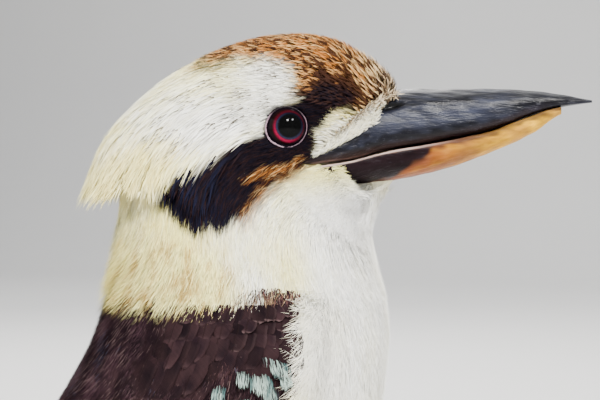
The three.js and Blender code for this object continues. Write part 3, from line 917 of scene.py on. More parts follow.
@dataclass(frozen=True)
class Vaned(Finish):
    """Feather vanes: barbs that slant off a shaft, with splits and a soft gloss."""

    name: str = "vanes"
    barb_mm: float = 0.42
    contrast: float = 0.6
    roughness: float = 0.62
    shaft_tone: Colour = (0.010, 0.005, 0.005)
    specular: float = 0.03

    def compose(self) -> bpy.types.Material:
        """Builds the material.

        Returns:
            The material.
        """
        shader = Shader(self.name)
        lay = shader.attribute("lay", "Vector")
        x, y, feather = (shader.node("ShaderNodeSeparateXYZ", {}, {0: lay}, i) for i in range(3))
        slant = x - y.absolute() * 0.85 + shader.noise(160.0) * 1.4
        barbs = (slant * (2 * math.pi / self.barb_mm)).sine() * 0.5 + 0.5
        along_barb = shader.node("ShaderNodeCombineXYZ", {}, {0: slant * 1.3, 1: y * 0.05, 2: feather})
        streaks = shader.noise(1.0, vector=along_barb)
        shaft = 1 - y.absolute().band(0.10, 0.26)
        colour = shader.tinted((barbs * 0.3 + streaks * 0.7 - 0.5) * self.contrast * 2 + 1.0)
        colour = shader.blend(shaft * 0.5, colour, self.shaft_tone)
        rough = streaks * 0.3 + (self.roughness - 0.15)
        shader.dress(Normal=shader.relief(barbs * 0.5 + shaft + streaks * 1.5, 0.6, 0.00025))
        return shader.dress(Base_Color=colour, Roughness=rough, Specular_IOR_Level=self.specular)


@dataclass(frozen=True)
class Horn(Finish):
    """Keratin of the bill: worn, finely scratched along its length, with flakes and a dull gloss."""

    name: str = "bill_horn"
    roughness: float = 0.33
    flake: float = 0.5
    gloss: float = 0.14
    # paler tone of scratches and chips: partly real wear, partly painted highlight lines
    worn_tone: Colour = (0.14, 0.14, 0.18)

    def compose(self) -> bpy.types.Material:
        """Builds the material.

        Returns:
            The material.
        """
        shader = Shader(self.name)
        stretch = {"Vector": shader.place(), "Scale": (0.10, 1.0, 1.0)}
        stretched = shader.node("ShaderNodeMapping", {}, stretch)
        scratches = shader.noise(2200.0, 5.0, stretched)
        plates = shader.noise(600.0, 6.0, stretched)
        cloud = shader.noise(140.0)
        worn = scratches.band(0.60, 0.72) * self.flake
        chips = plates.band(0.60, 0.66) * self.flake
        colour = shader.tinted(cloud * 0.7 + plates * 1.3)
        # The pale scratches are partly real wear and partly painted highlight lines; the chips are real wear.
        colour = shader.blend(worn * 0.2 + chips * 0.1, colour, self.worn_tone)
        rough = worn * 0.3 + cloud * 0.25 + (self.roughness - 0.12)
        shader.dress(Normal=shader.relief(scratches * 0.6 + plates * 1.2 + chips * 0.6, 0.5, 0.0004))
        return shader.dress(Base_Color=colour, Roughness=rough, Specular_IOR_Level=self.gloss)


@dataclass(frozen=True)
class Iris(Finish):
    """The wet eyeball, with the fine fibres of its iris."""

    name: str = "eye_iris"
    roughness: float = 0.03
    specular: float = 0.045

    def compose(self) -> bpy.types.Material:
        """Builds the material.

        Returns:
            The material.
        """
        shader = Shader(self.name)
        colour = shader.tinted(shader.noise(1500.0) * 0.7 + 0.5)
        rough = shader.noise(300.0, 2.0) * 0.02 + self.roughness
        return shader.dress(Base_Color=colour, Roughness=rough, Specular_IOR_Level=self.specular)


@dataclass(frozen=True)
class Hide(Finish):
    """Scaled skin of the feet and horn of the claws, wrinkled and dull."""

    name: str
    base: Colour
    crease: Colour
    scale: float
    roughness: float
    depth: float

    def compose(self) -> bpy.types.Material:
        """Builds the material.

        Returns:
            The material.
        """
        shader = Shader(self.name)
        inputs = {"Vector": shader.place(), "Scale": self.scale, "Randomness": 0.9}
        cells = shader.node("ShaderNodeTexVoronoi", {"feature": "DISTANCE_TO_EDGE"}, inputs, "Distance")
        cloud = shader.noise(self.scale * 0.4)
        plate = cells.band(0.0, 0.16)
        # Darker in the grooves between the plates.
        colour = shader.blend(plate * 0.75 + cloud * 0.25, self.crease, self.base)
        rough = cloud * 0.24 + self.roughness - 0.12
        normal = shader.relief(plate + cloud * 0.5, 0.7, self.depth)
        return shader.dress(Base_Color=colour, Roughness=rough, Normal=normal)


BARBS = Clouded("barbs", 420.0, (0.85, 0.3), (0.6, 0.2), 0.02, root_shade=0.5)
SKIN = Clouded("skin_under_coat", 900.0, (0.4, 0.35), (0.75, 0.1), 0.02, relief=0.6)
LIDS = Clouded("lid_skin", 2000.0, (0.55, 0.9), (0.32, 0.2), 0.2)
VANES = Vaned()
TAIL_VANES = Vaned("tail_vanes", barb_mm=0.5, contrast=0.35, roughness=0.6)
UPPER_HORN = Horn()
LOWER_HORN = Horn("bill_horn_lower", roughness=0.38, flake=0.25, gloss=0.04)
IRIS = Iris()
FOOT = Hide("foot_scales", (0.20, 0.185, 0.145), (0.055, 0.048, 0.038), 620.0, 0.62, 0.0006)
CLAW = Hide("claw_horn", (0.030, 0.027, 0.028), (0.012, 0.011, 0.012), 240.0, 0.36, 0.0002)


# Small feathers

# Widths of a blade along it, as shares of its full width, by its number of sections.
SWELL = {1: (1.0,), 2: (0.8, 1.0), 3: (0.7, 1.0, 0.8)}


def blade_faces(sections: int) -> Array:
    """Triangles of one blade: a left, a right and a ridge point at each section, and a tip.

    Args:
        sections: Number of sections.

    Returns:
        Three point numbers per triangle.
    """
    faces = [(0, 2, 1)]
    for left in range(0, 3 * (sections - 1), 3):
        right, ridge = left + 1, left + 2
        quads = ((left, left + 3, ridge + 3, ridge), (ridge, ridge + 3, right + 3, right))
        for a, b, c, d in (*quads, (right, right + 3, left + 3, left)):
            faces += [(a, b, c), (a, c, d)]
    tip = 3 * sections
    left, right, ridge = tip - 3, tip - 2, tip - 1
    return np.array([*faces, (left, tip, ridge), (ridge, tip, right), (right, tip, left)])


@dataclass
class Tuft:
    """Many narrow closed blades laid on a surface, given by one array entry each.

    A blade leaves its root at its heading, 0 being down the rows, and follows the surface at its heights.
    """

    surface: Surface
    row: Array
    angle: Array
    heading: Array
    length: Array
    width: Array
    heights: tuple[Array, ...]
    edge: Array | None = None
    shaft: Array | None = None
    thick: float = 0.06
    rows_in_all: float = float(BODY_ROWS)
    patch_size: float = 0.003

    def at(self, share: float) -> tuple[Array, Array, Array, Array]:
        """Where the blades are at a share of their length.

        Args:
            share: 0 at the root, 1 at the tip.

        Returns:
            Points, outward directions, row numbers and angles.
        """
        along, around = self.surface.slopes(self.row, self.angle)
        reach = self.length * share
        row = self.row + reach * np.cos(self.heading) / np.maximum(np.linalg.norm(along, axis=1), 3.0)
        angle = self.angle + reach * np.sin(self.heading) / np.maximum(np.linalg.norm(around, axis=1), 4.0)
        place = share * (len(self.heights) - 1)
        k = min(int(place), len(self.heights) - 2)
        height = self.heights[k] + (self.heights[k + 1] - self.heights[k]) * (place - k)
        points, normals = self.surface.place(row, angle, height)
        return points, normals, row, angle

    def kept(self, keep: Array) -> "Tuft":
        """Some of the blades.

        Args:
            keep: Whether to keep it, for each blade.

        Returns:
            Those blades.
        """
        values = {part.name: getattr(self, part.name) for part in fields(self)}
        chosen = {name: value[keep] for name, value in values.items() if isinstance(value, np.ndarray)}
        return replace(self, heights=tuple(h[keep] for h in self.heights), **chosen)

    def coloured(self, chance: Array, spread: float = 0.17, share: float = 0.65) -> "Tuft":
        """The blades in the colours of the coat where they show.

        Args:
            chance: Picks among the colours mixed at a place.
            spread: How much lighter or darker single blades are.
            share: Which place along the blades decides.

        Returns:
            The same blades, coloured.
        """
        points, _, row, angle = self.at(share)
        edge, shaft = COAT.colours(points, row, angle, chance)
        shade = 1 + spread * (2 * ((chance * 57.3) % 1) - 1)[:, None]
        return replace(self, edge=edge * shade, shaft=shaft * shade)

    def sheet(self) -> Sheet:
        """All the blades as one sheet of triangles.

        Returns:
            The sheet.
        """
        count, sections = len(self.row), len(self.heights) - 1
        stations = [self.at(k / sections)[:2] for k in range(sections + 1)]
        tips = stations[-1][0]
        across = unit(np.cross(stations[0][1], tips - stations[0][0]))
        root_patch = np.stack([(self.angle / (2 * math.pi)) % 1, self.row / self.rows_in_all], axis=1)
        corners = []
        for k, (middle, out) in enumerate(stations[:-1]):
            half = across * (self.width * SWELL[sections][k] / 2)[:, None]
            for side, tint in ((-1, self.edge), (1, self.edge), (0, self.shaft)):
                aside = half * side if side else out * self.thick
                corners.append((middle + aside, tint, k / sections, side / 2))
        corners.append((tips, self.edge, 1.0, 0.0))
        points, tints = (np.stack([c[i] for c in corners], axis=1).reshape(-1, 3) for i in (0, 1))
        along = np.tile([share for _, _, share, _ in corners], count)
        lay = np.column_stack([along, 0 * along, 0 * along])
        steps = [self.patch_size * np.array([aside, share - 0.5]) for _, _, share, aside in corners]
        patches = np.stack([root_patch + step for step in steps], axis=1).reshape(-1, 2)
        starts = np.arange(count)[:, None, None] * len(corners)
        faces = (starts + blade_faces(sections)).reshape(-1, 3)
        return Sheet(points, faces, tints, along, lay, patches)


def scattered(
    surface: Surface, rows: Span, turns: Span, count: int, seed: int, density: Field | None = None
) -> tuple[Array, Array]:
    """Roots spread evenly over part of a surface.

    Args:
        surface: What they grow on.
        rows: First and last row number.
        turns: First and last angle in degrees.
        count: How many to aim for.
        seed: Shifts the pattern.
        density: Relative density at each row and angle, or even.

    Returns:
        Row numbers and angles of the roots.
    """
    rng = np.random.default_rng(seed)
    trial_count = 4000

    def weigh(pairs: Array) -> tuple[Array, Array, Array]:
        """Puts pairs of numbers on the surface.

        Args:
            pairs: Pairs of numbers from 0 to 1.

        Returns:
            Row number and angle of each, and the share of surface that it stands for.
        """
        row = rows[0] + (rows[1] - rows[0]) * pairs[:, 0]
        angle = np.radians(turns[0] + (turns[1] - turns[0]) * pairs[:, 1])
        along, around = surface.slopes(row, angle)
        weight = np.linalg.norm(np.cross(along, around), axis=1)
        return row, angle, weight if density is None else weight * density(row, angle)

    trial = weigh(even_pairs(trial_count, seed))[2]
    most = trial.max()
    row, angle, weight = weigh(even_pairs(int(count * most / max(trial.mean(), 1e-9)), seed))
    keep = rng.random(len(row)) * most < weight
    return row[keep], angle[keep]


def fading(low: float, high: float) -> Field:
    """A density that rises from 0 at one turn to 1 at another."""
    return lambda _, angle: ease(low, high, turn_of(angle))


class Roots:
    """Roots of small feathers over part of a surface, with the random numbers that vary them."""

    def __init__(
        self, surface: Surface, rows: Span, turns: Span, count: int, seed: int, density: Field | None = None
    ) -> None:
        """Spreads the roots.

        Args:
            surface: What they grow on.
            rows: First and last row number.
            turns: First and last angle in degrees.
            count: How many to aim for.
            seed: Seed of their pattern and of their variation.
            density: Relative density at each row and angle, or even.
        """
        self.surface = surface
        self.rng = np.random.default_rng(seed)
        self.row, self.angle = scattered(surface, rows, turns, count, seed, density)
        self.count = len(self.row)
        self.turn = turn_of(self.angle)
        self.points = surface.bare(self.row, self.angle)

    def chance(self) -> Array:
        """A random number from 0 to 1 for each root."""
        return self.rng.random(self.count)

    def uniform(self, low: float, high: float) -> Array:
        """A random number from low to high for each root."""
        return self.rng.uniform(low, high, self.count)

    def normal(self, spread: float = 1.0) -> Array:
        """A random number for each root, mostly within the spread of 0."""
        return self.rng.normal(0, spread, self.count)

    def tuft(self, heading: Array, length: Array, width: Array, heights: Sequence, **more: Any) -> Tuft:
        """The blades that grow from the roots.

        Args:
            heading: Which way each goes, 0 being down the rows.
            length: Length of each.
            width: Width of each.
            heights: Heights over the surface from root to tip, of each or of all.
            more: Further values of the tuft.

        Returns:
            The blades.
        """
        levels = tuple(np.zeros(self.count) + h for h in heights)
        return Tuft(self.surface, self.row, self.angle, heading, length, width, levels, **more)


# Bill and eyes


@dataclass
class Bill:
    """The bill: both halves from one table of sections, with nostril slits and a worn surface.

    A section is its x, the heights of culmen, mouth line and keel, and its half width. Each half is widest
    at a share of its height from the mouth line.
    """

    sections: tuple[tuple[float, ...], ...] = (
        (33, 208.9, 206.6, 203.8, 20.8),
        (41, 212.8, 207.7, 201.8, 21.2),
        (50, 222.5, 209.2, 201.6, 18.2),
        (61, 231, 212.2, 203.3, 13.7),
        (76, 231.3, 214.8, 206.6, 10.3),
        (91, 231.1, 218, 211.8, 7.4),
        (103, 230.2, 222.6, 217.2, 4.9),
        (111, 228.9, 224.9, 222.6, 3),
        (120.7, 226.9, 226.1, 225.4, 0.7),
    )
    ends: Span = (8.0, 7.08)
    widest: Span = (0.34, 0.28)
    roundness: float = 2.1
    flatness_inside: float = 4.5
    gap: float = 0.3
    rings: int = 240
    sides: int = 120
    nostril: tuple[float, float] = (61.5, 225.3)
    base: Outline = (
        (290, 166), (330, 157), (360, 156), (398, 147), (433, 143), (429, 154), (412, 166), (392, 178),
        (370, 187), (352, 196), (290, 196),
    )
    coal: Colour = (0.002, 0.002, 0.004)
    # Colour of the painted sheen on the upper bill, also mottled in at random.
    slate: Colour = (0.024, 0.027, 0.044)
    # painted shade: dark brown of the band where the upper bill turns under to the mouth line
    edge_tone: Colour = (0.010, 0.005, 0.005)
    gape: Colour = (0.42, 0.30, 0.27)
    amber_root: Colour = (0.19, 0.052, 0.011)
    amber_tip: Colour = (0.62, 0.33, 0.011)
    russet: Colour = (0.16, 0.06, 0.04)
    base_tone: Colour = (0.008, 0.004, 0.005)
    smudge_tone: Colour = (0.030, 0.015, 0.014)
    line_tone: Colour = (0.66, 0.47, 0.40)

    @property
    def last_row(self) -> int:
        """Row number of the last section."""
        return len(self.sections) - 1

    def at(self, row: Array) -> Array:
        """The five values of the section at row numbers, one after the other."""
        return np.moveaxis(Shell(self.sections).section(row), -1, 0)

    def row_of(self, x: Array) -> Array:
        """Row numbers of places along the bill."""
        rows = np.linspace(0, self.last_row, 161)
        return np.interp(x, self.at(rows)[0], rows)

    def mouth(self, x: Array) -> Array:
        """Height of the mouth line at places along the bill."""
        return self.at(self.row_of(x))[2]

    def broad(self, culmen: Array, mouth: Array, keel: Array) -> tuple[Array, Array]:
        """Heights where the upper and the lower half are widest."""
        return mouth + (culmen - mouth) * self.widest[0], mouth + (keel - mouth) * self.widest[1]

    def holds(self, points: Array, grow: float) -> Array:
        """Whether points are inside the bill grown by a margin.

        Args:
            points: Places in the bird's frame.
            grow: The margin.

        Returns:
            Whether each is inside.
        """
        _, culmen, mouth, keel, half_width = self.at(self.row_of(points[:, 0]))
        across = np.abs(points[:, 1]) / (half_width + grow)
        upper, lower = self.broad(culmen, mouth, keel)
        high = np.clip((points[:, 2] - upper) / (culmen + grow - upper), 0, 9)
        low = np.clip((lower - points[:, 2]) / (lower - keel + grow), 0, 9)
        round_sum = across**self.roundness + high**self.roundness + low**self.roundness
        return (round_sum < 1) & (points[:, 0] > self.sections[0][0])

    def half(self, is_upper: bool) -> Sheet:
        """One half of the bill, closed and coloured.

        Args:
            is_upper: Whether it is the upper half.

        Returns:
            The half.
        """
        which, way = (0, 1) if is_upper else (1, -1)
        rows, around = np.linspace(0, self.ends[which], self.rings), circle(self.sides)
        x, culmen, mouth, keel, half_width = self.at(rows)[:, :, None]
        inner = mouth + way * self.gap / 2
        outer = culmen if is_upper else np.minimum(keel, inner - 0.5)
        middle = inner + (outer - inner) * self.widest[which]
        c, s = np.cos(around), np.sin(around)
        power = np.where(c > 0, 2 / self.roundness, 2 / self.flatness_inside)
        z = middle + np.abs(c) ** power * np.where(c > 0, outer - middle, inner - middle)
        y = half_width * np.sign(s) * np.abs(s) ** power
        points = self.worn(np.stack([x + 0 * y, y, z], axis=-1).reshape(-1, 3), is_upper)
        points = np.vstack([points, points[: self.sides].mean(axis=0), points[-self.sides :].mean(axis=0)])
        row, angle = grid(rows, around)
        patch = np.vstack([unwrap(angle, row / self.last_row), [0.5, 0], [0.5, 1]])
        tube = split_quads(grid_faces(self.rings, self.sides, True))
        faces = np.concatenate([tube, tube_ends(self.rings, self.sides)])
        return Sheet(points, faces, self.colours(points, is_upper), patch[:, 1], points, patch)

    def slit(self, points: Array, long: float, tall: float) -> Array:
        """How deep places are in a nostril slit of that length and height."""
        x, z = points[:, 0] - self.nostril[0], points[:, 2] - self.nostril[1]
        return np.exp(-((x / long) ** 2) - ((z - 0.22 * x) / tall) ** 2) * (np.abs(points[:, 1]) > 3)

    def worn(self, points: Array, is_upper: bool) -> Array:
        """Gives the smooth form its hollows, nostrils and wear.

        Args:
            points: Points of one half.
            is_upper: Whether it is the upper half.

        Returns:
            The points, moved a little.
        """
        x, y, z = points.T
        moved = points.copy()
        if is_upper:
            height = (z - 222.5 - 0.05 * (x - 66)) / 2.0
            groove = np.exp(-(height**2)) * ease(100, 70, x) * ease(52, 60, x)
            moved[:, 1] -= np.sign(y) * (2.0 * self.slit(points, 4.4, 1.0) + 0.35 * groove)
        dents = 0.10 * wobble(points * [0.35, 1, 1], 3.5, 31 if is_upper else 32)
        out = unit(np.stack([0 * x, y, z - np.median(z)], axis=1))
        return moved + out * (dents * ease(121, 112, x))[:, None]

    def colours(self, points: Array, is_upper: bool) -> Array:
        """Colour of the horn at places on the bill.

        Args:
            points: Places on the bill.
            is_upper: Whether they are on the upper half.

        Returns:
            One colour per place.
        """
        chart = SideChart.ragged(points, 2.0, (7, 5), 33)
        x = points[:, 0]
        over = points[:, 2] - self.mouth(x)
        fine = wobble(points * [0.2, 1, 1], 2.5, 35)
        if is_upper:
            # Painted sheen: a bluish highlight band along the side of the upper bill.
            height = (chart[:, 1] - 118 - 0.10 * (400 - chart[:, 0])) / 14
            sheen = np.exp(-(height**2)) * ease(560, 470, chart[:, 0])
            slate = mix(self.coal, self.slate, np.clip(0.65 * sheen + 0.25 * fine, 0, 1))
            # Painted shade: a dark-brown band along the mouth line, where the upper bill turns under.
            lip_shade = ease(3.2, 1.2, over) * ease(114, 96, x)
            pale = ease(1.0, 0.35, over) * ease(62, 50, x) * ease(34, 44, x)
            colour = mix(mix(slate, self.edge_tone, 0.85 * lip_shade), self.gape, 0.5 * pale)
            # The nostril slits are painted black: painted shade of their hollows.
            return mix(colour, (0.0, 0.0, 0.0), np.clip(self.slit(points, 4.8, 1.2) * 1.5, 0, 1))
        horn = mix(self.amber_root, self.amber_tip, ease(70, 106, x) * 0.85 + 0.15 * np.clip(fine, 0, 1))
        horn = mix(horn, self.russet, 0.4 * np.clip(0.3 + wobble(points * [0.4, 1, 1], 6, 36), 0, 1))
        colour = mix(horn, self.base_tone, SideChart.inside(chart, self.base, 4))
        # Darker along the lower bill's mouth edge, forward of the pale line.
        mouth_band = ease(2.4, 0.8, 0.8 * wobble(points * [0.3, 1, 1], 3, 37) - over) * ease(66, 80, x)
        line = ease(1.35, 0.75, -over) * ease(84, 62, x)
        return mix(mix(colour, self.smudge_tone, 0.8 * mouth_band), self.line_tone, 0.85 * line)

    def build(self) -> None:
        """Makes both halves."""
        upper = self.half(True).build("bill_upper_horn", UPPER_HORN, "horn_dark", smooth=True)
        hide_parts("bill_upper")
        lower = self.half(False).build("bill_lower_horn", LOWER_HORN, "horn_pale", smooth=True)
        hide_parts("bill_lower")


@dataclass(frozen=True)
class BillSide(Surface):
    """The outside of the bill as a surface. Row is the bill's own, angle 0 the culmen, 180 the keel."""

    bill: Bill

    def bare(self, row: Array, angle: Array) -> Array:
        """Points of the surface itself.

        Args:
            row: Row number of each point.
            angle: Angle of each point.

        Returns:
            One point each.
        """
        x, culmen, mouth, keel, half_width = self.bill.at(row)
        c, s = np.cos(angle), np.sin(angle)
        upper, lower = self.bill.broad(culmen, mouth, keel)
        power = 2 / self.bill.roundness
        tall = np.abs(c) ** power
        z = np.where(c > 0, upper + tall * (culmen - upper), lower + tall * (keel - lower))
        y = -half_width * np.sign(s) * np.abs(s) ** power
        return np.stack([x, y, z], axis=-1)


@dataclass
class Eye:
    """One eye: a wet ball with its iris and pupil, and a rim of bare lid."""

    radius: float = 8.6
    opening: float = 5.8
    iris: float = 5.7
    pupil: float = 4.1
    gaze: Span = (0.85, 0.1)
    middle: tuple[float, float, float] = (31.8, 22.2, 219.1)
    turn: float = math.radians(15)
    lid: float = 0.37
    reach: float = 8.4
    rings: int = 60
    sides: int = 96
    lid_sides: int = 132
    lid_tube: int = 14
    wine: Colour = (0.006, 0.0004, 0.0015)
    # the iris's crimson: faint all round, and strong on the lower side as painted light
    crimson: Colour = (0.26, 0.003, 0.036)
    pitch: Colour = (0.0003, 0.0003, 0.0005)
    # bluish edge of the pupil: painted light, strongest on the lower side
    sky: Colour = (0.020, 0.020, 0.045)
    rim_tone: Colour = (0.004, 0.002, 0.004)
    lid_tone: Colour = (0.26, 0.17, 0.21)

    @property
    def axes(self) -> Array:
        """Directions ahead, up and out of the left eye."""
        s, c = math.sin(self.turn), math.cos(self.turn)
        return np.array([[c, -s, 0.0], [0.0, 0.0, 1.0], [s, c, 0.0]])

    def swell(self, r: Array) -> Array:
        """Height of the ball over the plane of the lids, with the clear swelling over the iris.

        Args:
            r: Distances from the middle.

        Returns:
            Height at each.
        """
        sunk = math.sqrt(self.radius**2 - self.opening**2)
        ball = np.sqrt(np.maximum(self.radius**2 - r**2, 0.01)) - sunk
        return ball + 0.12 + 0.5 * ease(5.6, 0.0, r) - 2.5 * ease(6.3, 7.3, r)

    def eyeball(self) -> Sheet:
        """Ball with pupil, iris and dark rim.

        Returns:
            The ball of the left eye.
        """
        r, around = grid(np.linspace(0.02, self.reach, self.rings), circle(self.sides))
        local = np.stack([r * np.cos(around), r * np.sin(around), self.swell(r)], axis=1)
        looking = local[:, :2] - self.gaze
        away = np.linalg.norm(looking, axis=1)
        round_about = np.arctan2(looking[:, 1], looking[:, 0])
        # Painted light: the crimson ring round the pupil is faint all round and strong on its lower side,
        # where light falls in through the clear front of the eye. The pupil's bluish edge is painted light as
        # well, strongest on the same side.
        below = np.clip(0.5 - 0.5 * np.sin(round_about + 0.45) - 0.1 * np.cos(round_about), 0, 1)
        pupil = self.pupil
        glow = ease(pupil - 0.1, pupil + 0.2, away) * ease(pupil + 1.2, pupil + 0.3, away)
        tint = mix(self.wine, self.crimson, glow * (0.10 + 0.90 * below**4))
        blue = mix(self.pitch, self.sky, ease(3.2, 3.95, away) * (0.15 + 0.85 * below))
        tint = mix(tint, blue, ease(pupil + 0.15, pupil - 0.2, away))
        tint = mix(tint, self.rim_tone, ease(self.iris - 0.9, self.iris - 0.1, r))
        return self.sheet_of(local, grid_faces(self.rings, self.sides, True), tint, r)

    def lid_ring(self) -> Sheet:
        """The rim of bare skin, with fine bead-like folds and a slack lower edge.

        Returns:
            The rim of the left eye.
        """
        sides, tube = self.lid_sides, self.lid_tube
        around, turn = grid(circle(sides), circle(tube))
        beads = 1 + 0.12 * np.sin(around * 31) + 0.09 * np.sin(around * 17 + 1) + 0.08 * np.sin(around * 5)
        thick = self.lid * beads * (1 + 0.3 * np.cos(around - math.pi))
        corner = 0.35 * ease(0.75, 1.0, np.cos(around - math.radians(200)))
        corner = corner - 0.3 * ease(0.3, 1.0, np.sin(around))
        big = self.opening + 0.38 + thick * 0.55 * np.cos(turn) - 0.12 * np.cos(2 * around) + corner
        level = 0.1 + 0.35 * ease(0.2, 0.9, -np.sin(around))
        local = np.stack([big * np.cos(around), big * np.sin(around), level + thick * np.sin(turn)], axis=1)
        first = np.arange(tube)
        last = (sides - 1) * tube + first
        closing = np.stack([last, np.roll(last, -1), np.roll(first, -1), first], axis=1)
        # Painted light and shade: the rim is darker at its top and lighter towards its lower back. It is also
        # a little lighter where its folds are thicker.
        painted_lid_light = 0.5 + 0.5 * ease(-0.2, 0.9, np.cos(around - math.radians(215)))
        painted_lid_light = painted_lid_light * (1 - 0.92 * ease(0.45, 0.8, np.sin(around)))
        tint = self.lid_tone * (painted_lid_light * (0.8 + 0.2 * beads))[:, None]
        return self.sheet_of(local, np.vstack([grid_faces(sides, tube, True), closing]), tint, big)

    def sheet_of(self, local: Array, faces: Array, tint: Array, r: Array) -> Sheet:
        """A sheet on the bird's left side.

        Args:
            local: Points of the eye's own frame: ahead, up and out.
            faces: Point numbers of its faces.
            tint: Colour of each point.
            r: Distance of each point from the middle.

        Returns:
            The sheet.
        """
        ahead, up, out = self.axes
        points = np.array(self.middle) + local[:, :1] * ahead + local[:, 1:2] * up + local[:, 2:] * out
        return Sheet(points, faces, tint, r / 9, local, 0.5 + local[:, :2] / 24)

    def build(self) -> None:
        """Makes both eyes."""
        for side in Side:
            ball = self.eyeball().on(side).build(f"eyeball_{side.value}", IRIS, "eye", smooth=True)
            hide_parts(f"eye_{side.value}")
            self.lid_ring().on(side).build(f"lid_{side.value}", LIDS, "leg_skin", smooth=True)

    def distance(self, points: Array) -> Array:
        """Distance of points from the nearer eye's middle, along the plane of its lids.

        Args:
            points: Places in the bird's frame.

        Returns:
            The distances, far for places well off the plane.
        """
        offset = np.stack([points[:, 0], np.abs(points[:, 1]), points[:, 2]], axis=1) - self.middle
        out = self.axes[2]
        flat = offset - (offset @ out)[:, None] * out
        return np.where(np.abs(offset @ out) < 9, np.linalg.norm(flat, axis=1), 99.0)


# Plumage of the body


@dataclass(frozen=True)
class Stretch:
    """One stretch of small feathers."""

    name: str
    rows: Span
    count: int


